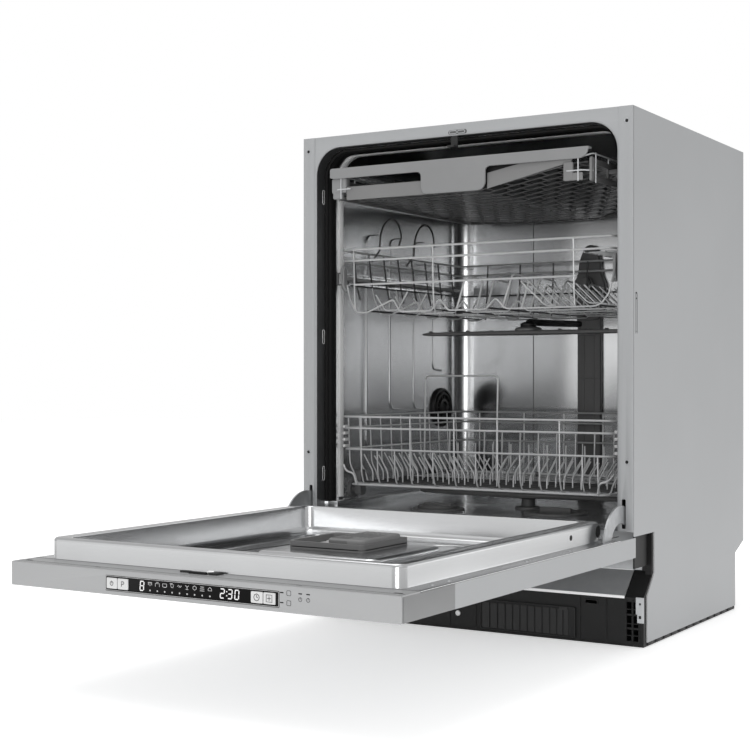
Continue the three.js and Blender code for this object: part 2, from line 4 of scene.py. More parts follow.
import bmesh
import bpy
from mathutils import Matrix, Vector


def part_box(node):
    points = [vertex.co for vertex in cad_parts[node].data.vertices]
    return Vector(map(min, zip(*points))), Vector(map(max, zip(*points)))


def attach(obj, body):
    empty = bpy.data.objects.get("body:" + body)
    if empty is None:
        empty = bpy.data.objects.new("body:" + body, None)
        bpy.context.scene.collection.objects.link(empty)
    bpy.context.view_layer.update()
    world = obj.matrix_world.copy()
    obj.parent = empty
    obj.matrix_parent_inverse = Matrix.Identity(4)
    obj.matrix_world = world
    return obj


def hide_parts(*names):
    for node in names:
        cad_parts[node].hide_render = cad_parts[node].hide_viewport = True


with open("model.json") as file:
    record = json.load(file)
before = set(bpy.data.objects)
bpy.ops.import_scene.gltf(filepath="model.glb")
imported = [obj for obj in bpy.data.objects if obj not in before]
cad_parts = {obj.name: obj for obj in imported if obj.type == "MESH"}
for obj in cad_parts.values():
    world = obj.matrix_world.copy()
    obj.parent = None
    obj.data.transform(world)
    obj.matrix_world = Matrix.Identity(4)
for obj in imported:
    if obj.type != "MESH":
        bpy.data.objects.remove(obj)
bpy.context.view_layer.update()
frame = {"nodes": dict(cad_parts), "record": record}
nodes = frame["nodes"]
MM = 0.001


# ---- Places read from the frame, in millimetres: x, depth behind the front flange, height ----
class Span:
    """The box of one CAD node."""

    def __init__(self, node):
        low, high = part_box(node)
        self.x0, self.x1 = low.x / MM, high.x / MM
        self.d0, self.d1 = (low.y - FRONT) / MM, (high.y - FRONT) / MM
        self.z0, self.z1 = low.z / MM, high.z / MM
        self.x = (self.x0 + self.x1) / 2
        self.depth = (self.d0 + self.d1) / 2
        self.z = (self.z0 + self.z1) / 2

    def face(self, inset=0, radius=0, steps=4):
        """The box's outline seen from the front, drawn in by a margin."""
        return rectangle(self.x0 + inset, self.x1 - inset, self.z0 + inset, self.z1 - inset, radius, steps)

    def plan(self, inset=0, radius=0, steps=4):
        """The box's outline seen from above, drawn in by a margin."""
        return rectangle(self.x0 + inset, self.x1 - inset, self.d0 + inset, self.d1 - inset, radius, steps)


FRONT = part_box("front_frame")[0].y
FLANGE = Span("front_frame")
TUB = Span("tub_wall_back")
CEILING = Span("tub_ceiling").z0
WALL = Span("tub_wall_right").x0
FLOOR = Span("tub_floor")
LINER = Span("door_inner_liner")
FASCIA = Span("control_fascia")
WINDOW = Span("display_window")
TRAY = Span("cutlery_tray")
UPPER = Span("upper_basket")
LOWER = Span("lower_basket")
BASE = Span("base_tray")
DISPENSER = Span("dispenser_body")
LID = Span("dispenser_lid")
SIDES = ((-1, "left"), (1, "right"))
OPENING_TOP = 800.5
OPENING_RADIUS = 45
FLOOR_LEVEL = FLOOR.z0 + 2
BORDER_TOP = FASCIA.z1
ARM_X, ARM_DEPTH = 5, 250
FILTER_X, FILTER_DEPTH = 85, 190
SALT_X, SALT_DEPTH = -120, 150
VENT_DEPTH, VENT_HEIGHT = 433, 354
LINER_X0, LINER_X1 = -272, 272
LINER_D0, LINER_D1 = LINER.d0 + 0.7, -57
LINER_RADIUS = 14
LAND, LIP = 25, 8.5
FRONT_SQUEEZE = 0.12
PLATEAU_X, PLATEAU_D, PLATEAU_TOP = (-118, 84), (-388, -196), 167


def at(x, depth, z):
    """A point of the row frame, in metres."""
    return Vector((x * MM, FRONT + depth * MM, z * MM))


# ---- Materials ----
def surface(name, color, roughness, metallic=0.0, spread=0.05, patch=9, grain=(400, 400, 400),
            bump=0.00004, rough_spread=0.08, coat=0.0, specular=0.5):
    """A material with patchy colour, uneven gloss and a fine grain; sizes are in the object's metres."""
    material = bpy.data.materials.new(name)
    material.use_nodes = True
    tree = material.node_tree
    shader = tree.nodes["Principled BSDF"]
    shader.inputs["Metallic"].default_value = metallic
    shader.inputs["Coat Weight"].default_value = coat
    shader.inputs["Specular IOR Level"].default_value = specular
    place = tree.nodes.new("ShaderNodeTexCoord")

    def noise(scale, stretch, detail):
        mapping = tree.nodes.new("ShaderNodeMapping")
        mapping.inputs["Scale"].default_value = stretch
        tree.links.new(place.outputs["Object"], mapping.inputs["Vector"])
        texture = tree.nodes.new("ShaderNodeTexNoise")
        texture.inputs["Scale"].default_value = scale
        texture.inputs["Detail"].default_value = detail
        tree.links.new(mapping.outputs["Vector"], texture.inputs["Vector"])
        return texture.outputs["Fac"]

    ramp = tree.nodes.new("ShaderNodeValToRGB")
    for element, amount, spot in zip(ramp.color_ramp.elements, (1 - spread, 1 + spread), (0.3, 0.7)):
        element.position = spot
        element.color = (*[min(c * amount, 1) for c in color], 1)
    tree.links.new(noise(patch, (1, 1, 1), 4), ramp.inputs["Fac"])
    tree.links.new(ramp.outputs["Color"], shader.inputs["Base Color"])
    fine = noise(1, grain, 3)
    spread_node = tree.nodes.new("ShaderNodeMapRange")
    spread_node.inputs["To Min"].default_value = max(roughness - rough_spread, 0.02)
    spread_node.inputs["To Max"].default_value = min(roughness + rough_spread, 1)
    tree.links.new(fine, spread_node.inputs["Value"])
    tree.links.new(spread_node.outputs["Result"], shader.inputs["Roughness"])
    relief = tree.nodes.new("ShaderNodeBump")
    relief.inputs["Strength"].default_value = 0.6
    relief.inputs["Distance"].default_value = bump
    tree.links.new(fine, relief.inputs["Height"])
    tree.links.new(relief.outputs["Normal"], shader.inputs["Normal"])
    return material


def grey(level, tint=0.0):
    """A linear grey from a 0-255 screen level; a positive tint cools it."""
    value = (level / 255) ** 2.2
    return (value * (1 - tint), value, value * (1 + tint))


BRUSHED = (9, 9, 900)
FINE, PAINT, MEDIUM, COARSE = ((scale,) * 3 for scale in (1400, 900, 500, 160))
STEEL = surface("stainless", grey(204, 0.01), 0.22, 1.0, 0.03, 5, BRUSHED, 0.000004, 0.04)
# Painted highlight: a near-white that stands for the light caught by bent steel edges, clip rings, panel
# folds and the latch hook.
PAINTED_HIGHLIGHT = surface("painted_highlight", grey(246), 0.3, 0.1, 0.02, 12, BRUSHED, 0.00001, 0.05)
LOOKS = {
    "painted_steel": surface("painted_steel", grey(164, 0.02), 0.42, 0.25, 0.025, 4, PAINT,
                             0.00002),
    "stainless": STEEL,
    "zinc_steel": surface("zinc_steel", grey(176, 0.02), 0.42, 0.7, 0.08, 90, COARSE, 0.00002),
    "black_plastic": surface("black_plastic", grey(27), 0.5, 0, 0.12, 20, FINE, 0.00006, specular=0.3),
    "grey_plastic": surface("grey_plastic", grey(92, 0.01), 0.45, 0, 0.06, 14, FINE, 0.00004),
    "silver_plastic": surface("silver_plastic", grey(163, 0.01), 0.38, 0.35, 0.02, 6, BRUSHED, 0.00001),
    "window_gloss": surface("window_gloss", grey(10), 0.3, 0, 0.2, 30, (60, 60, 60), 0.000005,
                            specular=0.12),
    "seal_rubber": surface("seal_rubber", grey(20), 0.62, 0, 0.15, 30, (800, 800, 800), 0.00008,
                           specular=0.3),
    "coated_wire": surface("coated_wire", grey(182, 0.01), 0.3, 0.25, 0.06, 40, MEDIUM, 0.00003,
                           coat=0.4),
    "felt": surface("felt", grey(52), 0.95, 0, 0.35, 160, (1500, 1500, 700), 0.0004, 0.04),
    "cast_iron": surface("cast_iron", grey(84), 0.75, 0.5, 0.2, 60, MEDIUM, 0.0003),
    "white_plastic": surface("white_plastic", grey(226), 0.4, 0, 0.03, 14, FINE, 0.00004),
}
BLACK, MID_GREY = LOOKS["black_plastic"], LOOKS["grey_plastic"]
# Painted shade: the same coated wire, darkened for basket wires that lie in shade.
SHADED_WIRE = surface("shaded_wire", grey(48, 0.01), 0.36, 0.1, 0.1, 40, MEDIUM, 0.00003, coat=0.2)
RAIL_GREY = surface("tray_grey", grey(130, 0.01), 0.42, 0, 0.04, 14, FINE, 0.00004)
# Painted shade: the fascia's ends are the same silver plastic, darkened for the shade on the faces turned
# to the side.
SHADED_FASCIA_END = surface("fascia_end", grey(126, 0.01), 0.42, 0.1, 0.03, 14, FINE, 0.00003)
DARK_GREY = surface("dark_grey_plastic", grey(92), 0.45, 0, 0.08, 14, FINE, 0.00005)
LATTICE_GREY = surface("lattice_grey", grey(92), 0.5, 0, 0.08, 14, FINE, 0.00005)
SOFT_BLACK = surface("soft_black", grey(46), 0.5, 0, 0.1, 20, FINE, 0.00006, specular=0.3)
DISPENSER_GREY = surface("dispenser_grey", grey(124), 0.5, 0, 0.05, 18, FINE, 0.00006)
WEDGE_GREY = surface("wedge_grey", grey(118), 0.45, 0, 0.05, 18, FINE, 0.00005)
DISPENSER_DARK = surface("dispenser_dark", grey(104), 0.5, 0, 0.05, 18, FINE, 0.00006)
PALE_CAP = surface("pale_plastic", grey(206), 0.42, 0, 0.03, 14, FINE, 0.00003)
PALE_STEEL = surface("pale_steel", grey(188, 0.02), 0.45, 0.3, 0.05, 60, COARSE, 0.00002)
# Painted shade: the sloping sill is one bent sheet with its upright part, darkened here for the shade under
# the door.
SHADED_SILL_STEEL = surface("shaded_sill_steel", grey(146, 0.02), 0.5, 0.2, 0.05, 60, COARSE, 0.00002)
# Painted shade: the lip is the flange's own painted steel, darkened and made more metallic to stand for its
# shade and its reflection of the dark tub inside.
SHADED_LIP_STEEL = surface("shaded_lip_steel", grey(84, 0.02), 0.34, 0.6, 0.04, 10, BRUSHED, 0.00001)
LIGHT_MARK = surface("light_print", grey(244), 0.5, 0, 0.03, 60, PAINT, 0.00001)
SOFT_MARK = surface("soft_print", grey(186), 0.5, 0, 0.04, 60, PAINT, 0.00001)
DARK_MARK = surface("dark_print", grey(46), 0.5, 0, 0.08, 60, PAINT, 0.00001)
OWN_LOOKS = {"sill_panel": SHADED_SILL_STEEL, "door_striker": SOFT_BLACK, "hinge_bracket_left": BLACK,
             "hinge_bracket_right": BLACK}
SLOTS = {part["node"]: part["material_slot"] for part in frame["record"]["subparts"]}
for node, obj in nodes.items():
    obj.data.materials.clear()
    obj.data.materials.append(OWN_LOOKS.get(node, LOOKS[SLOTS[node]]))


# ---- Building tools ----
def place(name, mesh, body, slot, look=None, replaces=(), sharp=35):
    """Makes a piece of a mesh or curve, in the row frame, and hands it to its body."""
    if isinstance(mesh, bpy.types.Mesh):
        tidy = bmesh.new()
        tidy.from_mesh(mesh)
        bmesh.ops.remove_doubles(tidy, verts=tidy.verts, dist=1e-6)
        bmesh.ops.recalc_face_normals(tidy, faces=tidy.faces)
        tidy.to_mesh(mesh)
        tidy.free()
        mesh.polygons.foreach_set("use_smooth", [True] * len(mesh.polygons))
        mesh.set_sharp_from_angle(angle=math.radians(sharp))
    obj = bpy.data.objects.new(name, mesh)
    bpy.context.scene.collection.objects.link(obj)
    mesh.materials.clear()
    mesh.materials.append(look or LOOKS[slot])
    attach(obj, body)
    if replaces:
        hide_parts(*replaces)
    return obj


def from_faces(vertices, faces):
    """A mesh of points and faces."""
    mesh = bpy.data.meshes.new("shape")
    mesh.from_pydata(vertices, [], faces)
    return mesh


def merged(*meshes):
    """One mesh of several."""
    joined = bmesh.new()
    for mesh in meshes:
        joined.from_mesh(mesh)
        bpy.data.meshes.remove(mesh)
    mesh = bpy.data.meshes.new("shape")
    joined.to_mesh(mesh)
    joined.free()
    return mesh


ACROSS = {
    "x": lambda u, v, w: at(w, u, v),
    "y": lambda u, v, w: at(u, w, v),
    "z": lambda u, v, w: at(u, v, w),
}


def mesh_of(curve):
    """The mesh that a curve draws."""
    holder = bpy.data.objects.new(curve.name, curve)
    mesh = bpy.data.meshes.new_from_object(holder)
    bpy.data.objects.remove(holder)
    return mesh


def add_spline(curve, points, cyclic=True):
    """Adds a polyline to a curve."""
    spline = curve.splines.new("POLY")
    spline.points.add(len(points) - 1)
    spline.use_cyclic_u = cyclic
    for point, spot in zip(spline.points, points):
        point.co = (*spot, 1)


def plate(axis, loops, start, end, bevel=0.4, segments=1):
    """A flat sheet between two levels on one axis, with rounded edges. The first loop is its outline."""
    curve = bpy.data.curves.new("plate", "CURVE")
    curve.dimensions = "2D"
    curve.fill_mode = "BOTH"
    curve.extrude = abs(end - start) / 2 - bevel
    curve.bevel_depth = bevel
    curve.bevel_resolution = segments
    curve.offset = -bevel
    for index, loop in enumerate(loops):
        area = sum(a[0] * b[1] - b[0] * a[1] for a, b in zip(loop, loop[1:] + loop[:1]))
        ordered = loop if (area > 0) == (index == 0) else loop[::-1]
        add_spline(curve, [(u, v, 0) for u, v in ordered])
    mesh = mesh_of(curve)
    middle = (start + end) / 2
    for vertex in mesh.vertices:
        vertex.co = ACROSS[axis](vertex.co.x, vertex.co.y, vertex.co.z + middle)
    return mesh


def corner_arcs(u0, u1, v0, v1, radius, steps):
    """Points round a rounded rectangle, each with its direction outwards: (u, v, outward u, outward v)."""
    for cu, cv, start in ((u1 - radius, v0 + radius, -90), (u1 - radius, v1 - radius, 0),
                          (u0 + radius, v1 - radius, 90), (u0 + radius, v0 + radius, 180)):
        for step in range(steps + 1):
            angle = math.radians(start + 90 * step / steps)
            c, s = math.cos(angle), math.sin(angle)
            yield cu + radius * c, cv + radius * s, c, s


def rectangle(u0, u1, v0, v1, radius=0.0, steps=4):
    """A rectangle, with rounded corners where a radius is given."""
    if radius <= 0:
        return [(u0, v0), (u1, v0), (u1, v1), (u0, v1)]
    return [(u, v) for u, v, _, _ in corner_arcs(u0, u1, v0, v1, radius, steps)]


def circle(u, v, radius, steps=24):
    """A circle of points."""
    turn = 2 * math.pi / steps
    return [(u + radius * math.cos(turn * k), v + radius * math.sin(turn * k)) for k in range(steps)]


def block(x, depth, z, bevel=0.6, radius=0.0):
    """A moulded block with rounded edges, standing on its outline."""
    return plate("z", [rectangle(*x, *depth, radius)], *z, bevel)


def lathe(axis, center, profile, steps=28):
    """A turned shape. The profile is (radius, distance along the axis) from the centre."""
    cx, cd, cz = center
    vertices, faces = [], []
    for radius, along in profile:
        for k in range(steps):
            angle = 2 * math.pi * k / steps
            u, v = radius * math.cos(angle), radius * math.sin(angle)
            spot = {"x": (cx + along, cd + u, cz + v), "y": (cx + u, cd + along, cz + v),
                    "z": (cx + u, cd + v, cz + along)}[axis]
            vertices.append(at(*spot))
    for row in range(len(profile) - 1):
        for k in range(steps):
            nxt = (k + 1) % steps
            faces.append((row * steps + k, row * steps + nxt, (row + 1) * steps + nxt,
                          (row + 1) * steps + k))
    last = (len(profile) - 1) * steps
    faces += [tuple(range(steps)), tuple(range(last, last + steps))]
    return from_faces(vertices, faces)


def rounded(points, radius, steps=4):
    """A path of straight wire with its corners bent to a radius."""
    path = [Vector(p) for p in points]
    out = [path[0]]
    for before, corner, after in zip(path, path[1:], path[2:]):
        a, b = before - corner, after - corner
        reach = min(radius, a.length * 0.48, b.length * 0.48)
        start, end = corner + a.normalized() * reach, corner + b.normalized() * reach
        for step in range(steps + 1):
            t = step / steps
            out.append(start * (1 - t) ** 2 + corner * 2 * t * (1 - t) + end * t * t)
    out.append(path[-1])
    return out


def looped(path):
    """A path that ends where it starts."""
    return path + path[:1]


def softened(outline, radius):
    """A flat outline with its corners bent to a radius."""
    return [(p[0], p[2]) for p in rounded([(u, 0, v) for u, v in looped(outline)], radius, 3)][:-1]


def flat_ring(z, *edges):
    """A closed wire that lies level, along a rounded rectangle."""
    return looped([(x, depth, z) for x, depth in rectangle(*edges)])


def front_ring(depth, loop):
    """A closed wire on an upright plane that faces the front."""
    return looped([(u, depth, v) for u, v in loop])


def handed(side, inner, outer):
    """A span in x, measured from the middle out on one side."""
    return sorted((side * inner, side * outer))


def wires(paths, radius, resolution=2):
    """Round wires along paths of (x, depth, z)."""
    curve = bpy.data.curves.new("wires", "CURVE")
    curve.dimensions = "3D"
    curve.bevel_depth = radius * MM
    curve.bevel_resolution = resolution
    curve.use_fill_caps = True
    for path in paths:
        closed = len(path) > 3 and tuple(path[0]) == tuple(path[-1])
        add_spline(curve, [at(*spot) for spot in (path[:-1] if closed else path)], closed)
    return mesh_of(curve)


def sweep(stations, profile, closed=False):
    """A closed outline carried along stations of (origin, p direction, q direction), in millimetres."""
    vertices, faces = [], []
    count = len(profile)
    for origin, p_axis, q_axis in stations:
        for p, q in profile:
            spot = Vector(origin) + Vector(p_axis) * p + Vector(q_axis) * q
            vertices.append(at(*spot))
    last = len(stations) if closed else len(stations) - 1
    for i in range(last):
        for j in range(count):
            a, b = i * count, ((i + 1) % len(stations)) * count
            nxt = (j + 1) % count
            faces.append((a + j, a + nxt, b + nxt, b + j))
    if not closed:
        end = (len(stations) - 1) * count
        faces += [tuple(range(count)), tuple(range(end, end + count))]
    return from_faces(vertices, faces)


def arch_stations(half, foot, top, radius, side_steps=1, top_steps=1, corner_steps=10):
    """Stations over an arch: p points into the opening and q points to the back."""
    spots = [(-half, foot + (top - radius - foot) * k / side_steps, 1, 0) for k in range(side_steps)]
    for k in range(corner_steps + 1):
        angle = math.radians(180 - 90 * k / corner_steps)
        c, s = math.cos(angle), math.sin(angle)
        spots.append((radius - half + radius * c, top - radius + radius * s, -c, -s))
    for k in range(1, top_steps):
        spots.append((radius - half + 2 * (half - radius) * k / top_steps, top, 0, -1))
    mirrored = [(-x, z, -px, pz) for x, z, px, pz in reversed(spots[:side_steps + corner_steps + 1])]
    return [((x, 0, z), (px, 0, pz), (0, 1, 0)) for x, z, px, pz in spots + mirrored]


def ring_stations(u0, u1, d0, d1, radius, corner_steps=8):
    """Stations round a rounded rectangle seen from above: p points inwards and q points up."""
    arcs = corner_arcs(u0, u1, d0, d1, radius, corner_steps)
    return [((x, depth, 0), (-c, -s, 0), (0, 0, 1)) for x, depth, c, s in arcs]


# ---- Camera and light ----
CAMERA_PLACE = (1.1065, FRONT - 2.0339, 0.411)
CAMERA_TURN = 31.33
CAMERA_LENS, SENSOR = 69.2, 36
CAMERA_SHIFT = (-0.0166, 0.0042)
WORLD_LIGHT, PAPER_GLOW, PAPER_REACH = 0.62, 0.46, 9


def stand(name, data):
    """An object of the studio."""
    obj = bpy.data.objects.new(name, data)
    bpy.context.scene.collection.objects.link(obj)
    return obj


def make_camera():
    """The camera that was solved from the photo."""
    data = bpy.data.cameras.new("camera")
    data.lens, data.sensor_width = CAMERA_LENS, SENSOR
    data.shift_x, data.shift_y = CAMERA_SHIFT
    camera = stand("camera", data)
    camera.location = CAMERA_PLACE
    camera.rotation_euler = (math.radians(90), 0, math.radians(CAMERA_TURN))
    bpy.context.scene.camera = camera


def area_light(name, location, target, size, power):
    data = bpy.data.lights.new(name, "AREA")
    data.shape = "RECTANGLE"
    data.size, data.size_y = size
    data.energy = power
    light = stand(name, data)
    light.location = location
    light.rotation_euler = (Vector(target) - Vector(location)).to_track_quat("-Z", "Y").to_euler()


def make_studio():
    """Six soft lights, an even white world and a paper floor."""
    area_light("key", (3.0, -2.4, 3.0), (0, 0, 0.4), (2.4, 2.4), 6)
    area_light("front", (-2.3, -3.6, 1.1), (0, 0, 0.4), (3.0, 2.2), 7)
    area_light("fill", (2.2, -4.4, 0.9), (0, 0, 0.5), (1.7, 1.5), 34)
    area_light("right", (2.7, 3.2, 0.7), (0, -0.6, 0.2), (1.6, 0.8), 4)
    area_light("top", (-0.3, -0.9, 3.4), (0, -0.3, 0.2), (2.5, 2.5), 36)
    area_light("back", (-1.2, 3.2, 2.2), (0, 0, 0.4), (2.0, 2.0), 8)
    world = bpy.data.worlds.new("world")
    world.use_nodes = True
    tree = world.node_tree
    background = tree.nodes["Background"]
    background.inputs["Color"].default_value = (1, 1, 1, 1)
    background.inputs["Strength"].default_value = WORLD_LIGHT
    seen = tree.nodes.new("ShaderNodeBackground")
    seen.inputs["Color"].default_value = (1, 1, 1, 1)
    rays = tree.nodes.new("ShaderNodeLightPath")
    mix = tree.nodes.new("ShaderNodeMixShader")
    tree.links.new(rays.outputs["Is Camera Ray"], mix.inputs[0])
    tree.links.new(background.outputs[0], mix.inputs[1])
    tree.links.new(seen.outputs[0], mix.inputs[2])
    tree.links.new(mix.outputs[0], tree.nodes["World Output"].inputs["Surface"])
    bpy.context.scene.world = world
    bpy.context.scene.view_settings.view_transform = "Standard"
    corners = rectangle(-PAPER_REACH, PAPER_REACH, -PAPER_REACH, PAPER_REACH)
    mesh = from_faces([(x, y, -0.0008) for x, y in corners], [(0, 1, 2, 3)])
    floor = stand("floor", mesh)
    paper = surface("floor_paper", (0.9, 0.9, 0.9), 0.9, 0, 0.005, 2, (60, 60, 60), 0.00001)
    shader = paper.node_tree.nodes["Principled BSDF"]
    shader.inputs["Emission Color"].default_value = (1, 1, 1, 1)
    shader.inputs["Emission Strength"].default_value = PAPER_GLOW
    mesh.materials.append(paper)


make_camera()
make_studio()


# ---- Cabinet: front frame, side panels, back ----
SCREWS = [(side * 289, z) for side in (-1, 1) for z in (285, 797.5)]
HINGE_SLOT = 284
CLIP_HEIGHTS = (248, 482, 721)
TAB_DEPTH, TAB_FOOT, TAB_TOP = 12.5, 478, 537


def front_frame():
    """The flange with its screw holes, the rolled edge of its opening and the uprights."""
    roll = 2.5
    inner = [(x, z) for (x, _, z), _, _ in arch_stations(WALL + roll, FLANGE.z0, OPENING_TOP + roll,
                                                         OPENING_RADIUS + roll)]
    outline = [(FLANGE.x0, FLANGE.z0), *inner, (FLANGE.x1, FLANGE.z0), (FLANGE.x1, FLANGE.z1),
               (FLANGE.x0, FLANGE.z1)]
    holes = [circle(x, z, 2.6, 12) for x, z in SCREWS]
    slots = []
    for side in (-1, 1):
        edge = sorted((side * HINGE_SLOT - 3.2, side * HINGE_SLOT + 3.2))
        slots.append(rectangle(*edge, 184.5, 229, 2))
    flange = plate("y", [outline, *holes, *slots], 0, 1.5, 0.45)
    curl = [(roll * (math.sin(a) - 1), roll * (1 - math.cos(a))) for a in
            [math.radians(15 * k) for k in range(6)]]
    arch = arch_stations(WALL, FLANGE.z0 + 1, OPENING_TOP, OPENING_RADIUS)
    bend = sweep(arch, curl + [(-0.6, 2.6), (-1.6, 1.9), (-roll, 1.3)])
    place("front_frame_sheet", merged(flange, bend), "cabinet", "painted_steel", replaces=("front_frame",))
    lip = sweep(arch, [curl[-1], (0, 3.4), (0, FLANGE.d1), (-1.2, FLANGE.d1), (-1.2, 3.2), (-0.6, 2.6)])
    # The lip takes the darker steel as painted shade and painted reflection of the dark inside.
    place("front_frame_lip", lip, "cabinet", "painted_steel", SHADED_LIP_STEEL)
    for side, name, hole, slot in ((-1, "left", holes[:2], slots[0]), (1, "right", holes[2:], slots[1])):
        strip = rectangle(*handed(side, 276, FLANGE.x1), FLANGE.z0, FLANGE.z1, 0.8)
        place(f"frame_upright_{name}", plate("y", [strip, *hole, slot], -0.7, 0.2, 0.25), "cabinet",
              "painted_steel")
    heads, collars = [], []
    for x, z in SCREWS:
        heads.append(lathe("y", (x, 0.4, z), [(0.9, -0.2), (1.5, -0.3), (2.5, -0.9), (2.6, 1.2)], 16))
        collars.append(front_ring(-0.6, circle(x, z, 3.7, 20)))
    place("frame_screw_heads", merged(*heads), "cabinet", "zinc_steel", BLACK)
    place("frame_screw_collars", wires(collars, 0.55), "cabinet", "zinc_steel")


def frame_clips():
    """Small oval clips on the lip, which hold the tub's edge. Their rings are near-white as a painted
    highlight, and black plates in their hollows are painted shade.
    """
    paths, hollows = [], []
    for side in (-1, 1):
        for z in CLIP_HEIGHTS:
            ring = rectangle(18.9, 24.1, z - 12, z + 12, 2.4)
            paths.append(looped([(side * WALL, depth, height) for depth, height in ring]))
            hollows.append(plate("x", [rectangle(19.4, 23.6, z - 11, z + 11, 2)],
                                 *handed(side, WALL - 0.35, WALL + 0.2), 0.1))
    place("frame_clips", wires(paths, 0.5), "cabinet", "zinc_steel", PAINTED_HIGHLIGHT)
    place("frame_clip_hollow_shade", merged(*hollows), "cabinet", "zinc_steel", BLACK)


def striker_eye():
    """The oval eye in the top flange, over the tongue that the latch takes hold of."""
    z = 806
    plate_mesh = plate("y", [rectangle(-17, 17, z - 3.6, z + 3.6, 3.5)], -0.3, 0.4, 0.15)
    place("striker_eye_recess", plate_mesh, "cabinet", "zinc_steel", DARK_GREY)
    paths = [front_ring(-0.7, rectangle(x - 6.5, x + 6.5, z - 2.4, z + 2.2, 2.2)) for x in (-8, 7)]
    place("striker_eye_rings", wires(paths, 0.65), "cabinet", "zinc_steel")


def gasket():
    """The folded door seal round the opening."""
    profile = [(0.4, 28), (3.2, 28.6), (5.6, 27), (6.2, 28.5), (4.4, 31.5), (3.2, 34.5), (4.6, 36),
               (6.2, 40), (6.6, 45), (6.2, 50), (4.6, 54.5), (2.5, 56.2), (0.4, 56)]
    seal = sweep(arch_stations(WALL, 201, CEILING - 0.3, OPENING_RADIUS, 24, 20), profile)
    place("door_seal", seal, "cabinet", "seal_rubber", replaces=("door_gasket",))


def side_panels():
    """The tab, seams, fold and foot clips on each side panel."""
    for side, name in SIDES:
        x = side * FLANGE.x1
        edge = x - side * 0.3
        bow = []
        for k in range(9):
            angle = math.pi * k / 8
            bow.append((edge, TAB_DEPTH + 3.4 * math.cos(angle), TAB_TOP + 3.4 * math.sin(angle)))
        groove = [[(edge, TAB_DEPTH + 3.4, TAB_FOOT), *bow, (edge, TAB_DEPTH - 3.4, TAB_FOOT)]]
        # The groove round the tab is drawn as black wire, a painted shade in the cut.
        place(f"side_tab_groove_shade_{name}", wires(groove, 0.5), "cabinet", "painted_steel", BLACK)
        tongue = plate("x",
                       [rectangle(TAB_DEPTH - 2.4, TAB_DEPTH + 2.4, TAB_FOOT + 2.3, TAB_TOP + 1.7, 2.4)],
                       *sorted((x - side * 1.3, x - side * 0.1)), 0.2)
        place(f"side_tab_{name}", tongue, "cabinet", "painted_steel")
        eye = lathe("x", (x - side * 0.4, TAB_DEPTH, TAB_TOP - 6),
                    [(0.2, side * 0.38), (1.5, side * 0.4), (1.7, -side * 0.4)], 14)
        place(f"side_tab_eye_{name}", eye, "cabinet", "painted_steel", BLACK)
        seam = [[(x - side * 0.15, 2.2, 183), (x - side * 0.15, 2.2, FLANGE.z1 - 1)]]
        place(f"side_seam_{name}", wires(seam, 0.35, 1), "cabinet", "painted_steel", DARK_GREY)
        fold = plate("x",
                     [[(57.3, 6.5), (59.2, 6.5), (59.2, 76.4), (88.9, 109.6), (88.9, 172), (87.2, 172),
                       (87.2, 110), (57.3, 77.2)]], *sorted((x - side * 2.6, x - side * 0.1)), 0.2)
        # The fold is the side panel's own painted steel; here it takes the near-white as a painted
        # highlight.
        place(f"side_front_fold_{name}", fold, "cabinet", "painted_steel", PAINTED_HIGHLIGHT)
        clips = []
        for k in range(12):
            start = 60 + 35 * k
            clips.append(plate("x", [rectangle(start, start + 24, 1.2, 6.4, 1)],
                               *sorted((x - side * 1.2, x - side * 0.2)), 0.2))
        place(f"side_foot_clips_{name}", merged(*clips), "cabinet", "black_plastic")


def back_details():
    """Screws round the back sheet."""
    screws = [lathe("y", (x, TUB.d0 + 24.6, z), [(3.6, 0.4), (3.4, -0.2), (1.4, -0.3), (1.2, 0.2)][::-1],
                    12) for x in (-285, 285) for z in (150, 330, 510, 690, 800)]
    place("back_screws", merged(*screws), "cabinet", "zinc_steel")


# ---- Wash tub ----
CORNER = 34


def tub_shell():
    """One drawn sheet over the sides and top, with the step behind the seal and a rounded back edge."""
    step = [(0, 25), (0, 58), (1.2, 60.5), (3.8, 62.5), (4.4, 64), (4.4, 75), (3.8, 76.5), (1.2, 79),
            (0, 81)]

    def bend(radius):
        turns = [math.radians(90 * k / 7) for k in range(8)]
        return [(CORNER - radius * math.cos(a), TUB.d0 - CORNER + radius * math.sin(a)) for a in turns]

    outside = [(p - 1, d) for p, d in step]
    profile = step + bend(CORNER) + (outside + bend(CORNER + 1))[::-1]
    shell = sweep(arch_stations(WALL, FLOOR.z0, CEILING, OPENING_RADIUS, 1, 1, 12), profile)
    place("tub_shell", shell, "cabinet", "stainless",
          replaces=("tub_wall_left", "tub_wall_right", "tub_ceiling"))


def tub_back():
    """The back sheet and its seam."""
    half = WALL - CORNER
    top = CEILING - CORNER
    outline = [(x, z) for (x, _, z), _, _ in arch_stations(half, FLOOR.z0, top, OPENING_RADIUS - CORNER)]
    sheet = plate("y", [outline], TUB.d0, TUB.d0 + 1, 0.05)
    seam = wires([[(-108, TUB.d0, FLOOR.z1), (-108, TUB.d0, top - 6)]], 0.9)
    place("tub_back_sheet", sheet, "cabinet", "stainless", replaces=("tub_wall_back",))
    place("tub_back_seam", seam, "cabinet", "stainless", DARK_GREY)


def tub_edge():
    """The drawn edge just behind the seal, in near-white as a painted highlight on its bend."""
    profile = [(0.6, 62.4), (2.6, 61.2), (5.0, 61.6), (6.2, 63.4), (6.4, 66), (6.4, 74), (5.8, 75.6),
               (4.2, 76.4), (4.2, 74.6), (4.2, 64.6)]
    strip = sweep(arch_stations(WALL, 205, CEILING, OPENING_RADIUS), profile)
    place("tub_bright_edge", strip, "cabinet", "stainless", PAINTED_HIGHLIGHT)


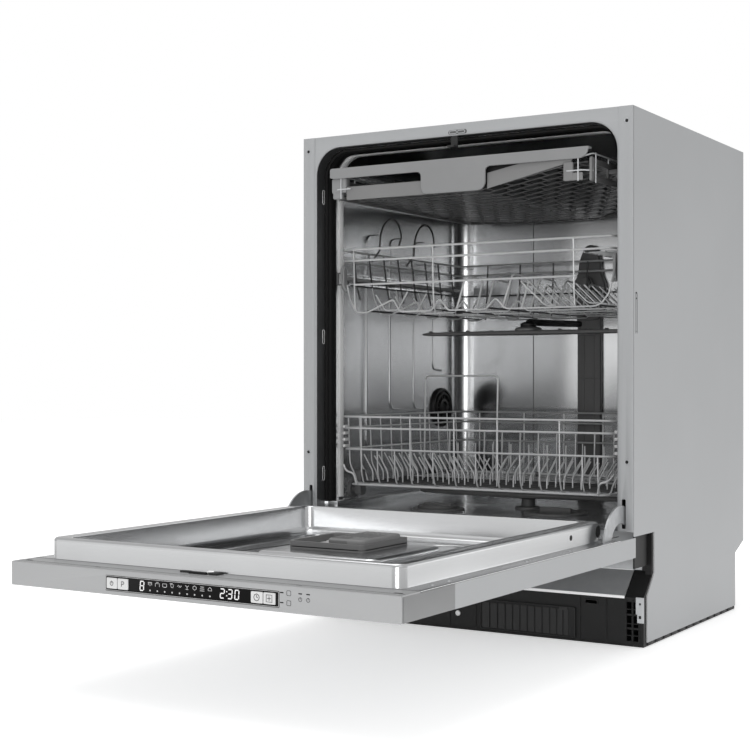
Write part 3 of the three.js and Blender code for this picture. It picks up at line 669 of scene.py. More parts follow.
def tub_beads():
    """Pressed beads that stiffen the side walls, hooked at both ends."""
    paths = []
    for side in (-1, 1):
        x = side * (WALL + 0.6)
        for depth, low in ((160, 288), (241, 355), (327, 354), (399, 428)):
            points = [(x, depth + 36, low - 2), (x, depth, low), (x, depth, 666), (x, depth + 38, 671)]
            paths.append(rounded(points, 14, 5))
    place("tub_wall_beads", wires(paths, 2.1), "cabinet", "stainless")


def tub_floor():
    """The drawn floor slopes from its rim to the sump, with shallow beads across it."""
    x_edge = FLOOR.x1
    columns, rows = 60, 52
    sump = (30, 215)
    holes = (((FILTER_X, FILTER_DEPTH), 47), ((SALT_X, SALT_DEPTH), 38), ((ARM_X, ARM_DEPTH), 16))

    def height(x, d):
        edge = min(x_edge - 24 - abs(x), d - 30, 480 - d)
        dip = 2.6 * (1 - math.exp(-max(edge, 0) / 26))
        ring = math.hypot(x - sump[0], (d - sump[1]) * 1.15)
        turn = math.atan2(d - sump[1], x - sump[0])
        rays = 1.4 * max(0, math.cos(turn * 9)) ** 6 if 140 < ring < 210 else 0
        step = 0.9 / (1 + math.exp(-(min(x_edge - 40 - abs(x), d - 52) - 8) / 2))
        return FLOOR_LEVEL + 2.2 - dip + rays - step + 1.2 / (1 + math.exp((128 - ring) / 3))

    def spot(i, j):
        return -x_edge + 2 * x_edge * i / columns, FLOOR.d0 + (FLOOR.d1 - FLOOR.d0) * j / rows

    vertices, faces = [], []
    for layer in (0, 1):
        for i in range(columns + 1):
            for j in range(rows + 1):
                x, d = spot(i, j)
                vertices.append(at(x, d, FLOOR_LEVEL - 2.4 if layer else height(x, d)))
    stride = rows + 1
    size = (columns + 1) * stride
    kept = set()
    for i in range(columns):
        for j in range(rows):
            x, d = spot(i + 0.5, j + 0.5)
            if all(math.hypot(x - cx, d - cd) > r for (cx, cd), r in holes):
                kept.add((i, j))
    for i, j in kept:
        a, b, c, d = i * stride + j, (i + 1) * stride + j, (i + 1) * stride + j + 1, i * stride + j + 1
        faces += [(a, b, c, d), (size + d, size + c, size + b, size + a)]
        for (ni, nj), (p, q) in (((i - 1, j), (d, a)), ((i + 1, j), (b, c)), ((i, j - 1), (a, b)),
                                 ((i, j + 1), (c, d))):
            if (ni, nj) not in kept:
                faces.append((q, p, size + p, size + q))
    sheet = from_faces(vertices, faces)
    tracks = [block(handed(side, 250, x_edge), (30, 490), (FLOOR_LEVEL - 1, FLOOR.z1), 1.2)
              for side in (-1, 1)]
    place("tub_floor_sheet", merged(sheet, *tracks), "cabinet", "stainless", replaces=("tub_floor",),
          sharp=50)
    rims = [
        lathe("z", (FILTER_X, FILTER_DEPTH, FLOOR_LEVEL),
              [(54, -1.6), (54, 1.4), (52, 2.4), (46, 2.2), (43.5, 0.4), (43.3, -4)][::-1], 48),
        lathe("z", (SALT_X, SALT_DEPTH, FLOOR_LEVEL),
              [(46, -1.6), (46, 1.4), (44, 2.4), (38, 2.2), (35, 0.6), (34.6, -4)][::-1], 40),
        lathe("z", (ARM_X, ARM_DEPTH, FLOOR_LEVEL), [(24, -1.6), (23, 2.2), (17, 3.4), (13, 3.4)][::-1],
              32),
    ]
    place("tub_floor_rims", merged(*rims), "cabinet", "grey_plastic", DARK_GREY)


def feed_duct():
    """The flat pipe up the back wall that feeds the upper arm."""
    d0, d1 = TUB.d0 - 12, TUB.d0 - 0.3
    stem = plate("y", [rectangle(-11, 36, 188, 560, 5)], d0 + 1, d1, 2.2, 3)
    outline = [(-11, 520), (-15, 548), (-21, 566), (-19, 590), (-9, 606), (-6, 634), (6, 662), (24, 664),
               (36, 634), (38, 606), (47, 588), (47, 560), (40, 540), (36, 520)]
    loop = softened(outline, 9)
    bulb = plate("y", [loop], d0 - 2, d1, 3, 3)
    ribs = [plate("y", [rectangle(x, x + 2, 215, 505, 0.9)], d0, d0 + 2, 0.5) for x in (2, 22)]
    bands = [plate("y", [rectangle(-9, 34, z, z + 2, 0.9)], d0 + 0.2, d0 + 2, 0.5)
             for z in (250, 330, 410, 490)]
    place("feed_duct", merged(stem, bulb, *ribs, *bands), "cabinet", "grey_plastic", DARK_GREY,
          replaces=("water_duct",))
    spout = lathe("y", (13, TUB.d0 - 22, 590),
                  [(8, -11), (10.8, -10.6), (11, -9), (11, -4), (13, -3), (13, 0), (11, 1), (11, 11)], 28)
    place("feed_spout", spout, "cabinet", "grey_plastic", DARK_GREY)


def vent_cap():
    """The round cap in the left wall, with its rings and vanes."""
    x = -WALL + 0.4
    center = (x, VENT_DEPTH, VENT_HEIGHT)
    rims = lathe("x", center,
                 [(38, 0), (38, 3), (36.5, 5.4), (33.5, 5.8), (32.5, 2.2), (29.5, 2.2), (28.6, 7.4),
                  (26, 7.8), (24.6, 7), (24, 3), (17.4, 3), (16.6, 8), (12, 8.8), (10.6, 7.4), (10, 4.4),
                  (1, 4.4)], 40)
    ends = zip(circle(VENT_DEPTH, VENT_HEIGHT, 17, 16), circle(VENT_DEPTH, VENT_HEIGHT, 25, 16))
    vanes = [[(x + 5.4, *near), (x + 5.4, *far)] for near, far in ends]
    place("vent_cap_turned", merged(rims, wires(vanes, 1.0, 1)), "cabinet", "black_plastic",
          replaces=("vent_cap",))


def rails():
    """Stops at the front ends of the rails."""
    for side, name in SIDES:
        stops = [block(handed(side, 266.5, 271), (57.5, 60.5), (z0, z1), 0.6)
                 for z0, z1 in ((573, 593), (723, 741))]
        place(f"rail_stops_{name}", merged(*stops), "cabinet", "grey_plastic", RAIL_GREY)


# ---- Base ----
def base_front():
    """Ribs and a slot's rim, moulded into the front of the base."""
    d = BASE.d0
    ribs = []
    for side in (-1, 1):
        for x in (268.5, 279.5, 290.5):
            spot = handed(side, x, x + 1.6)
            ribs.append(block(spot, (d - 0.6, d + 20), (4, 72), 0.4))
        for z in (16, 34, 56):
            ribs.append(block(handed(side, 268.5, 292), (d - 0.4, d + 16), (z, z + 1.6), 0.4))
        ribs.append(block(handed(side, 281.6, 297.6), (80.5, 84.2), (112, 171.5), 0.5))
    for z in (1.5, 70.5):
        ribs.append(block((-266, 266), (d - 0.9, d + 1), (z, z + 1.8), 0.4))
    for x in (-210, -120, -40, 8, 192, 236):
        ribs.append(block((x, x + 1.6), (d - 0.8, d + 1), (3, 70), 0.4))
    slot_rim = plate("y", [rectangle(200, 223, 59, 68, 2), rectangle(202, 221, 61, 66, 1)], d - 1,
                     d + 0.5, 0.3)
    place("base_front_ribs", merged(*ribs, slot_rim), "cabinet", "black_plastic")


def service_panel():
    """A removable cover with upright ribs."""
    span = Span("service_panel")
    sheet = plate("y", [span.face(0, 2)], span.d1 - 1.6, span.d1, 0.4)
    edges = [21, 36, 50, 64, 77, 90, 103, 116, 129, 142, 154, 165, 175]
    ribs = [plate("y", [rectangle(start + 1.2, end - 1.2, 8, 49, 1.4)], span.d0 + 0.3, span.d1 - 1, 0.6,
                  2) for start, end in zip(edges, edges[1:])]
    tab = plate("y", [rectangle(158, 172, 47, 52.6, 1.2)], span.d0, span.d1 - 1, 0.4)
    place("service_cover", sheet, "cabinet", "black_plastic", replaces=("service_panel",))
    place("service_cover_ribs", merged(*ribs, tab), "cabinet", "black_plastic", SOFT_BLACK)
    edge = span.face(0.6, 2)
    place("service_cover_edge", wires([front_ring(span.d0 + 0.6, edge)], 0.5, 1), "cabinet",
          "black_plastic", SOFT_BLACK)


def foot_adjuster():
    """The screw at the front that raises the rear foot, and the three feet."""
    screw = lathe("y", (-24, BASE.d0 - 0.7, 26),
                  [(0.8, 0.1), (2.3, 0.1), (2.8, -0.7), (3.4, -0.9), (4.2, -0.7), (4.4, 0.7)], 18)
    place("foot_adjuster", screw, "cabinet", "white_plastic")
    for name, (x, depth) in (("front_left", (-240, 120)), ("front_right", (240, 120)), ("rear", (0, 400))):
        pad = lathe("z", (x, depth, 0),
                    [(1, 0.1), (15, 0.1), (18.4, 0.6), (19, 1.4), (19, 2.6), (17, 3.2), (9, 3.8),
                     (6.5, 6), (5, 6.4), (5, 34)], 30)
        place(f"foot_{name}_turned", pad, "cabinet", "black_plastic", replaces=(f"foot_{name}",))


def sill_strips():
    """Painted highlights at the two bends of the sloping sill, and its upright part in paler steel as
    painted light beside the shaded slope.
    """
    low = plate("y", [rectangle(-266.5, 266.5, 72.8, 77.2, 0.8)], BASE.d0 - 0.9, BASE.d0 + 0.8, 0.5, 2)
    high = wires([[(-266, 84.6, 112.4), (266, 84.6, 112.4)]], 1.3, 2)
    place("sill_bends", merged(low, high), "cabinet", "zinc_steel", PAINTED_HIGHLIGHT)
    loops = [rectangle(-281.2, 281.2, 113, 171.5, 1)]
    for side in (-1, 1):
        loops.append(circle(side * 272.6, 128, 1.8, 12))
    # The upright part takes the paler steel as painted light; it is the same sheet as the darker slope.
    place("sill_upright", plate("y", loops, 83.2, 84.3, 0.25), "cabinet", "zinc_steel", PALE_STEEL)


def corner_brackets():
    """A pale plate at each end of the sill, with a hole and a slot."""
    for side, name in SIDES:
        span = Span(f"corner_bracket_{name}")
        x = side * 292
        outer, inner = side * FLANGE.x1 - side * 0.6, side * 285.4
        step = side * 287.6
        outline = [(inner, 50), (step, 50), (step, span.z0), (outer, span.z0), (outer, span.z1),
                   (inner, span.z1)]
        loops = [outline, rectangle(x - 1.5, x + 1.5, 64.4, 67.6), rectangle(x - 2, x + 2, 43.5, 48.2)]
        sheet = plate("y", loops, span.d0, span.d1, 0.25)
        place(f"corner_plate_{name}", sheet, "cabinet", "zinc_steel", PALE_STEEL,
              replaces=(f"corner_bracket_{name}",))


# ---- Door ----
def liner():
    """The inner sheet of the door: border, raised rim, sunk floor and the plateau round the dispenser."""
    border, top = BORDER_TOP, LINER.z1
    floor = LINER.z0 + 1
    outside = ring_stations(LINER_X0, LINER_X1, LINER_D0, LINER_D1, LINER_RADIUS, 8)
    skin = [(-1.5, border), (-0.4, border + 0.2), (0, border + 1.4), (0, top - 5), (0.4, top - 2.9),
            (1.5, top - 1.2), (3.2, top - 0.25), (5, top), (5, top - 1.6), (3, top - 3.2), (1.8, top - 6),
            (1.6, border - 1), (-1.5, border - 1)]
    outer = sweep(outside, skin, closed=True)
    basin = [(origin, (px, py * (FRONT_SQUEEZE if py > 0 else 1), 0), up)
             for origin, (px, py, _), up in ring_stations(LINER_X0 + LAND, LINER_X1 - LAND,
                                                          LINER_D0 + LIP, LINER_D1 - LIP, LINER_RADIUS,
                                                          8)]
    wall = [(-3.2, top), (-1.5, top - 0.3), (-0.5, top - 1.2), (0, top - 3), (0, floor + 12),
            (0.9, floor + 7.6), (3.4, floor + 3.6), (7.6, floor + 1.1), (14, floor + 0.2),
            (14, floor - 0.8), (6.6, floor - 0.2), (2, floor + 3), (-0.9, floor + 8), (-1.6, floor + 12),
            (-1.6, top - 3), (-3.2, top - 1.4)]
    inner = sweep(basin, wall, closed=True)

    def inset(stations, distance):
        return [(o[0] + p[0] * distance, o[1] + p[1] * distance) for o, p, _ in stations]

    land = plate("z", [inset(outside, 4.9), inset(basin, -3.1)], top - 1.5, top, 0.02)
    sunk = plate("z", [inset(basin, 13.9)], floor - 0.8, floor + 0.2, 0.05)
    half = LINER.x1
    slots = [rectangle(*handed(side, 281.5, 286.5), -84, -48, 2) for side in (-1, 1)]
    outline = [(-half, LINER.d0), (half, LINER.d0), (half, -45), (-half, -45)]
    edge = plate("z", [outline, inset(outside, -1.2), *slots], border - 1, border, 0.25)
    tail = plate("z", [rectangle(-LINER_X1, LINER_X1, -55, LINER.d1)], border - 1, border, 0.25)
    raised = plate("z", [rectangle(*PLATEAU_X, *PLATEAU_D, 16, 6)], floor - 2, PLATEAU_TOP, 6, 5)
    place("door_liner_sheet", merged(outer, inner, land, sunk, edge, tail, raised), "door", "stainless",
          replaces=("door_inner_liner",), sharp=32)


def liner_beads():
    """Pressed ridges on the sunk floor of the inner sheet."""
    z = LINER.z0 - 0.4
    paths = []
    loop = rectangle(LINER_X0 + LAND + 26, LINER_X1 - LAND - 26, LINER_D0 + 36, LINER_D1 - 34, 26, 8)
    paths.append([(x, d, z) for x, d in looped(loop)])
    for start, end, bow in (((-190, -560), (-128, -400), -10), ((-186, -540), (-150, -130), -14),
                            ((196, -560), (98, -392), 14), ((206, -500), (100, -300), 14),
                            ((210, -330), (92, -190), 18), ((206, -220), (60, -120), 14),
                            ((-100, -180), (60, -110), 10)):
        points = []
        for k in range(13):
            t = k / 12
            x = start[0] + (end[0] - start[0]) * t + bow * math.sin(math.pi * t)
            d = start[1] + (end[1] - start[1]) * t
            points.append((x, d, z))
        paths.append(points)
    place("door_liner_beads", wires(paths, 2.8, 3), "door", "stainless")


BORDER_SCREWS = (-583, -544, -333, -197)


def liner_fixings():
    """Small screws along the border, a slot at each front corner, and plugs in the rim's sides."""
    heads, slots, plugs = [], [], []
    for side in (-1, 1):
        for depth in BORDER_SCREWS:
            heads.append(lathe("z", (side * 284.5, depth, BORDER_TOP),
                               [(0.9, 0.3), (1.5, 0.7), (2.7, 0.6), (3.2, 0.1), (3.2, -0.3)], 14))
        slots.append(plate("z", [rectangle(*handed(side, 277, 289), -659.5, -655.5, 1.9)], BORDER_TOP - 0.3,
                           BORDER_TOP + 0.12, 0.1))
        plugs.append(lathe("x", (side * (LINER_X1 + 0.2), -166, 186),
                           [(1, side * 0.5), (2.8, side * 0.6), (3.8, side * 0.2), (3.8, -side * 0.5)], 16))
        buffer = lathe("x", (side * (LINER_X1 - 0.4), -70, 186),
                       [(3, side * 1.0), (6, side * 1.05), (8.6, side * 0.7), (9.4, 0),
                        (9.4, -side * 0.8)], 18)
        plugs.append(buffer)
    place("door_border_screws", merged(*heads), "door", "zinc_steel")
    place("door_border_slots", merged(*slots), "door", "silver_plastic", BLACK)
    place("door_rim_plugs", merged(*plugs), "door", "black_plastic")


def fascia():
    """The moulding along the door's top edge, with room for the control window."""
    x0, x1 = FASCIA.x0, FASCIA.x1
    z0, z1 = FASCIA.z0, FASCIA.z1
    d0 = FASCIA.d0
    window = WINDOW.face(-0.3, 1.2)
    face = plate("y", [rectangle(x0, x1, z0, z1, 1.0), window], d0, d0 + 6, 0.8, 3)
    sill_d = LINER.d0 - 0.3
    latch_span = Span("door_latch")
    left, right, notch_d = latch_span.x0 - 0.3, latch_span.x1 + 0.3, latch_span.d0 - 0.3
    outline = [(x0 + 0.1, d0 + 4), (x1 - 0.1, d0 + 4), (x1 - 0.1, sill_d), (right, sill_d),
               (right, notch_d), (left, notch_d), (left, sill_d), (x0 + 0.1, sill_d)]
    shelf = plate("z", [outline], z1 - 5, z1, 0.5)
    ends = [block(handed(side, x1 - 2.4, x1), (d0 + 4, FASCIA.d1), (z0, z1 - 1.4), 0.5) for side in (-1, 1)]
    foot = block((x0 + 0.1, x1 - 0.1), (d0 + 4, FASCIA.d1), (z0, z0 + 2.2), 0.5)
    back = block((x0 + 2, x1 - 2), (d0 + 5, d0 + 8), (z0 + 1, z1 - 1), 0.4)
    place("fascia_moulding", merged(face, shelf, foot, back), "door", "silver_plastic",
          replaces=("control_fascia",))
    # The ends take the darker copy of the silver plastic as painted shade.
    place("fascia_ends", merged(*ends), "door", "silver_plastic", SHADED_FASCIA_END)
    notches = [plate("z", [rectangle(x - 4, x + 4, -666.5, -664.2, 1)], z1 - 0.4, z1 + 0.12, 0.1)
               for x in (-155, 154)]
    place("fascia_notches", merged(*notches), "door", "silver_plastic", DARK_GREY)
    seam = wires([[(x0 + 2, d0 + 13, z1 - 0.1), (x1 - 2, d0 + 13, z1 - 0.1)]], 0.45, 1)
    # A dark line where the fascia's top meets the liner is a painted shadow; the line above is a real seam.
    shadow = wires([[(x0 + 2, sill_d + 0.2, z1 - 0.1), (x1 - 2, sill_d + 0.2, z1 - 0.1)]], 0.5, 1)
    place("fascia_seam_and_shadow_lines", merged(seam, shadow), "door", "silver_plastic", DARK_GREY)


def latch():
    """The black latch, its hook in near-white as a painted highlight, and the ears that hold it in the top
    edge of the door.
    """
    span = Span("door_latch")
    mouth = rectangle(-15.5, 1.5, span.d0 + 4, span.d0 + 15, 1.5)
    outline = span.plan(0, 2)
    case = plate("z", [outline], span.z0, 157.5, 0.5)
    walls = plate("z", [outline, mouth], 157, span.z1, 0.6, 2)
    bridge = block((-20, 6), (span.d0 + 0.6, span.d0 + 3.7), (span.z1 - 1, span.z1 + 2.2), 0.8)
    place("latch_case", merged(case, walls, bridge), "door", "black_plastic", replaces=("door_latch",))
    d = span.d0 + 9.5
    hook = [rounded([(3, d + 3, 168), (3.2, d - 2, 174), (6, d - 1, 174.6), (10, d + 2, 174.2)], 3)]
    ears = [block((-38, -22), (span.d0 + 4, span.d0 + 11), (BORDER_TOP - 0.2, BORDER_TOP + 2.2), 0.7, 2),
            block((8, 22), (span.d0 + 2, span.d1 - 1), (BORDER_TOP - 0.2, BORDER_TOP + 2.6), 0.8, 2)]
    place("latch_hook", wires(hook, 1.4), "door", "zinc_steel", PAINTED_HIGHLIGHT)
    place("latch_ears", merged(*ears), "door", "zinc_steel", SOFT_BLACK)


# ---- Controls ----
SEGMENTS = {
    "a": [(0.1, 1.8), (0.9, 1.8)], "b": [(1, 1.7), (0.94, 1)], "c": [(0.92, 0.85), (0.86, 0.1)],
    "d": [(0.0, 0), (0.78, 0)], "e": [(-0.06, 0.1), (0, 0.85)], "f": [(0.02, 1), (0.08, 1.7)],
    "g": [(0.1, 0.92), (0.84, 0.92)],
}
DIGITS = {"0": "abcdef", "2": "abged", "3": "abgcd", "8": "abcdefg"}


def display():
    """The glossy window with its lit digits and programme symbols."""
    span = WINDOW
    buttons = [Span(f"button_{k}") for k in (1, 2, 3, 4)]
    wells = [b.face(-0.3, 0.8) for b in buttons]
    glass = plate("y", [span.face(0, 1), *wells], span.d0, span.d0 + 2, 0.25)
    backing = plate("y", [span.face(0, 1)], span.d0 + 4.4, span.d1, 0.2)
    place("display_glass", merged(glass, backing), "door", "window_gloss", replaces=("display_window",))
    depth = span.d0 - 0.02
    lines = []

    def digit(symbol, x, z, size):
        for segment in DIGITS[symbol]:
            lines.append([(x + u * size, depth, z + v * size) for u, v in SEGMENTS[segment]])

    digit("8", -76.5, 150, 6.2)
    for symbol, x in (("2", 48), ("3", 59.5), ("0", 69.5)):
        digit(symbol, x, 150.4, 6)
    place("display_digits", wires(lines, 0.75, 1), "door", "window_gloss", LIGHT_MARK)
    dots = [lathe("y", (57.2, depth, z), [(0.3, -0.12), (0.8, -0.12), (0.8, 0.1)], 8)
            for z in (153.5, 158.4)]
    place("display_colon", merged(*dots), "door", "window_gloss", LIGHT_MARK)
    icons, lamps = [], []
    shapes = (
        [[(0, 0.8), (1, 0.8)], [(0.1, 0.8), (0.1, 0.2)], [(0.9, 0.8), (0.9, 0.2)], [(0.5, 0.8), (0.5, 0)]],
        [[(0, 0), (0, 0.7), (1, 0.7), (1, 0)], [(0.2, 1), (0.8, 1)]],
        [[(0, 0.2), (0.2, 0), (0.8, 0), (1, 0.2), (1, 0.8), (0, 0.8), (0, 0.2)]],
        [[(0.1, 0.8), (0.3, 0.1), (0.7, 0.1), (0.9, 0.8), (0.1, 0.8)], [(0, 1), (0.6, 1)]],
        [[(0, 0.5), (0.3, 0.8)], [(0.3, 0.3), (0.6, 0.7)], [(0.6, 0.3), (1, 0.7)]],
        [[(0.5, 0), (0.5, 0.5), (0.1, 0.9)], [(0.5, 0.5), (0.9, 0.9)], [(0.2, 0), (0.8, 0)]],
        [[(0.5, 0), (0.9, 0.3), (0.9, 0.7), (0.5, 1), (0.1, 0.7), (0.1, 0.3), (0.5, 0)]],
        [[(0, 0), (1, 0)], [(0, 0.45), (1, 0.45)], [(0.1, 0.9), (0.9, 0.9)]],
        [[(0.1, 0.2), (0.9, 0.2), (0.9, 0.6), (0.5, 1), (0.1, 0.6), (0.1, 0.2)]],
    )
    for k, shape in enumerate(shapes):
        x = -64 + 11.6 * k
        for path in shape:
            icons.append([(x + 6.4 * u, depth, 156.4 + 5.2 * v) for u, v in path])
        lamps.append(lathe("y", (x + 3.2, depth, 150.8), [(0.2, -0.12), (1.1, -0.12), (1.1, 0.1)], 8))
    place("display_icons", wires(icons, 0.42, 1), "door", "window_gloss", SOFT_MARK)
    place("display_lamps", merged(*lamps), "door", "window_gloss", SOFT_MARK)
    outline = span.face(0.5, 0.8)
    place("display_outline", wires([front_ring(depth, outline)], 0.3, 1), "door", "window_gloss", SOFT_MARK)


def buttons():
    """The caps and their printed symbols."""
    symbols = (
        [[(0.5, 0.5), (0.5, 1)],
         [(0.3, 0.85), (0.08, 0.5), (0.25, 0.15), (0.5, 0.05), (0.75, 0.15), (0.92, 0.5), (0.7, 0.85)]],
        [[(0.2, 0), (0.2, 1), (0.6, 1), (0.82, 0.85), (0.82, 0.62), (0.6, 0.48), (0.2, 0.48)]],
        [[(0.5, 0), (0.85, 0.15), (1, 0.5), (0.85, 0.85), (0.5, 1), (0.15, 0.85), (0, 0.5), (0.15, 0.15),
          (0.5, 0)], [(0.5, 0.85), (0.5, 0.5), (0.75, 0.5)]],
        [[(0, 0), (0, 1), (1, 1), (1, 0), (0, 0)], [(0.2, 0.5), (0.8, 0.5)], [(0.5, 0.8), (0.5, 0.2)]],
    )
    for k, symbol in enumerate(symbols, 1):
        span = Span(f"button_{k}")
        cap = plate("y", [span.face(0, 1.2)], span.d0, span.d1, 0.5, 3)
        place(f"button_cap_{k}", cap, f"button_{k}", "silver_plastic", PALE_CAP, replaces=(f"button_{k}",))
        size = 6.2 if k < 3 else 8.2
        lines = [[(span.x + (u - 0.5) * size, span.d0 - 0.02, span.z + (v - 0.5) * size) for u, v in path]
                 for path in symbol]
        place(f"button_symbol_{k}", wires(lines, 0.42, 1), f"button_{k}", "silver_plastic", DARK_MARK)


def fascia_marks():
    """Lamps and small symbols printed to the right of the window."""
    depth = FASCIA.d0 - 0.02
    lamps = [plate("y", [rectangle(x - 2.6, x + 2.6, z - 0.8, z + 0.8, 0.4)], depth, depth + 0.3, 0.1)
             for x, z in ((137, 163.5), (137, 152), (163, 164), (174, 164))]
    place("fascia_lamps", merged(*lamps), "door", "silver_plastic", BLACK)
    lines = [front_ring(depth, rectangle(x - 2.8, x + 2.8, z - 2.8, z + 2.8, 1))
             for x, z in ((147, 163.5), (147, 152))]
    for x in (163, 174):
        lines.append(front_ring(depth, circle(x, 157.4, 2.3, 12)))
        lines.append([(x, depth, 157.4), (x, depth, 159.4)])
    place("fascia_symbols", wires(lines, 0.3, 1), "door", "silver_plastic", DARK_MARK)


# ---- Dispenser ----
def dispenser():
    """The open compartment, with its raised frame, its hinge bar, its steps and the lid's catch."""
    s = DISPENSER
    well = rectangle(s.x0 + 6, s.x0 + 61, s.d0 + 7, s.d1 - 13, 5)
    rim = plate("z", [s.plan(0, 8), well], 158.5, 171.6, 1.4, 3)
    under = plate("z", [s.plan(1, 7)], s.z0 + 0.2, 160, 0.5)
    hinge = block((s.x0 + 4, s.x1 - 2), (s.d1 - 11.5, s.d1 - 2.5), (170.6, s.z1), 0.7, 1.5)
    frame_loops = [s.plan(0, 8),
                   rectangle(s.x0 + 5.6, s.x1 - 1.6, s.d0 + 3.4, s.d1 - 14.6, 6)]
    raised = plate("z", frame_loops, 168, 177.5, 0.75, 3)
    place("dispenser_case", merged(rim, under, hinge, raised), "door", "grey_plastic", DISPENSER_DARK,
          replaces=("dispenser_body",))
    steps = []
    for k in range(4):
        start = s.d0 + 10 + 26 * k
        steps.append(block((s.x0 + 8, s.x0 + 58), (start, start + 22), (160, 166 + 1.2 * k), 0.9))
    place("dispenser_steps", merged(*steps), "door", "grey_plastic", PALE_CAP)
    catch = [block((s.x0 + 58, s.x0 + 62.4), (s.d0 + 32, s.d1 - 40), (169, 172.3), 0.8, 1.5)]
    place("dispenser_catch", merged(*catch), "door", "grey_plastic", BLACK)


def dispenser_lid():
    """The sliding lid with its grip ribs and studs."""
    s = LID
    cover = plate("z", [s.plan(0, 11, 6)], s.z0, s.z1 - 1.6, 3.6, 5)
    parts = []
    for k in range(7):
        x = s.x0 + 7 + 7.4 * k
        parts.append(block((x, x + 3), (s.d0 + 30, s.d1 - 34), (s.z1 - 2.2, s.z1 - 0.6), 0.7, 1.2))
    for k in range(5):
        for row in (0, 1):
            parts.append(lathe("z", (s.x0 + 10 + 10 * k, s.d1 - 14 - 10 * row, s.z1 - 1.8),
                               [(3.4, -0.4), (3.2, 0.6), (2.0, 1.4), (0.3, 1.6)], 12))
    place("dispenser_cover", merged(cover, *parts), "dispenser_lid", "grey_plastic", DISPENSER_GREY,
          replaces=("dispenser_lid",))
    latch_plate = [plate("y", [rectangle(s.x0 + 5, s.x0 + 36, s.z0 + 1, s.z1 - 4, 1.5)], s.d0 - 0.2,
                         s.d0 + 1.6, 0.4),
                   block((s.x0 + 6, s.x0 + 34), (s.d0 + 4, s.d0 + 24), (s.z1 - 2.4, s.z1 - 1.2), 0.5, 3)]
    place("dispenser_latch", merged(*latch_plate), "dispenser_lid", "grey_plastic", DISPENSER_DARK)


# ---- Hinges ----
def hinge_covers():
    """The plastic boots beside the arms' slots."""
    for side, name in SIDES:
        boot = plate("x", [[(1.7, 232), (1.7, 183), (14, 183), (14, 205), (7, 226)]],
                     *handed(side, 277.2, 280.6), 0.4)
        place(f"hinge_boot_{name}", boot, "cabinet", "black_plastic")


# ---- Baskets ----
def lower_basket():
    """Rims, floor wires, tines, bars, hanger, corners, wheel lugs and end clips."""
    s = LOWER
    half, low = s.x1 - 2.2, s.z0 + 17
    front, back = s.d0 + 2.2, s.d1 - 2.2
    rim, waist, knee = 345, 289.5, 243
    thick, thin = [], []
    for z, inset in ((rim, 0), (325.5, 1.5), (waist, 4)):
        thick.append(flat_ring(z, inset - half, half - inset, front + inset / 2, back - inset, 16, 5))
    low_half = half - 15
    thick.append(flat_ring(low, -low_half, low_half, front + 6, back - 8, 14, 5))
    rows = 12
    for k in range(rows):
        d = front + 24 + (back - front - 48) * k / (rows - 1)
        thin.append(rounded([(-half + 0.5, d, rim), (-half + 4, d, 262), (-low_half, d, knee),
                             (-low_half + 3, d, low), (low_half - 3, d, low), (low_half, d, knee),
                             (half - 4, d, 262), (half - 0.5, d, rim)], 8))
    for x in (-211.5, -114.8, -31, 48.5, 157.9):
        thin.append(rounded([(x, front + 0.3, rim), (x, front + 2, 250), (x, front + 10, low),
                             (x, back - 10, low), (x, back - 1, 250), (x, back, rim)], 8))
    for x in (-180, -146, -72, 8, 88, 122, 196, 222):
        thin.append(rounded([(x, front + 2, waist), (x, front + 4, 246), (x, front + 12, low),
                             (x, back - 12, low), (x, back - 3, 246), (x, back - 2, waist)], 8))
    place("lower_basket_rims", wires(thick, 1.8), "lower_rack", "coated_wire", replaces=("lower_basket",))
    place("lower_basket_wires", wires(thin, 1.35), "lower_rack", "coated_wire")
    tines, rails_low = [], []
    for row, d in enumerate((84, 118, 152, 186, 222)):
        base = low + 3
        rails_low.append([(-low_half + 4, d, base), (low_half - 4, d, base)])
        for k in range(15):
            x = -212 + 30 * k
            lean = -1 if x < -18 else 1
            rise = 47 - 4 * (row % 2)
            tines.append(rounded([(x, d, base), (x, d, base + 18), (x + lean * 17, d - 2, base + rise)], 6))
    place("lower_basket_tines", wires(tines, 1.25), "lower_rack", "coated_wire")
    # The floor bars take the darker wire as painted shade.
    place("lower_basket_bars", wires(rails_low, 1.6), "lower_rack", "coated_wire", SHADED_WIRE)
    hanger_top = 415
    hanger = rounded([(-182, 210, low + 4), (-176, 204, hanger_top), (-31, 204, hanger_top),
                      (-38, 210, low + 4)], 9, 6)
    place("lower_basket_hanger", wires([hanger], 1.7), "lower_rack", "coated_wire")
    handles = []
    for side in (-1, 1):
        x = side * (half - 1)
        handles.append(rounded([(x - side * 3, front + 3, 262), (x - side * 10, front - 0.4, 252),
                                (x - side * 26, front, 248), (x - side * 30, front + 2, low)], 6))
    place("lower_basket_corners", wires(handles, 1.7), "lower_rack", "coated_wire")
    lugs, pale = [], []
    for side in (-1, 1):
        for depth in (95, 430):
            spot = handed(side, 239, 252)
            lugs.append(plate("x", [rectangle(depth - 9, depth + 9, 207, 252, 6)], *spot, 1.2, 2))
        x = side * (half - 3)
        for z in (292, 303, 314, 325):
            pale.append(block(sorted((x - side * 2, x + side * 3.6)), (front + 6, front + 20), (z, z + 5),
                              0.9, 1.5))
    place("lower_basket_lugs", merged(*lugs), "lower_rack", "coated_wire", MID_GREY)
    place("lower_basket_end_clips", merged(*pale), "lower_rack", "coated_wire", PALE_CAP)


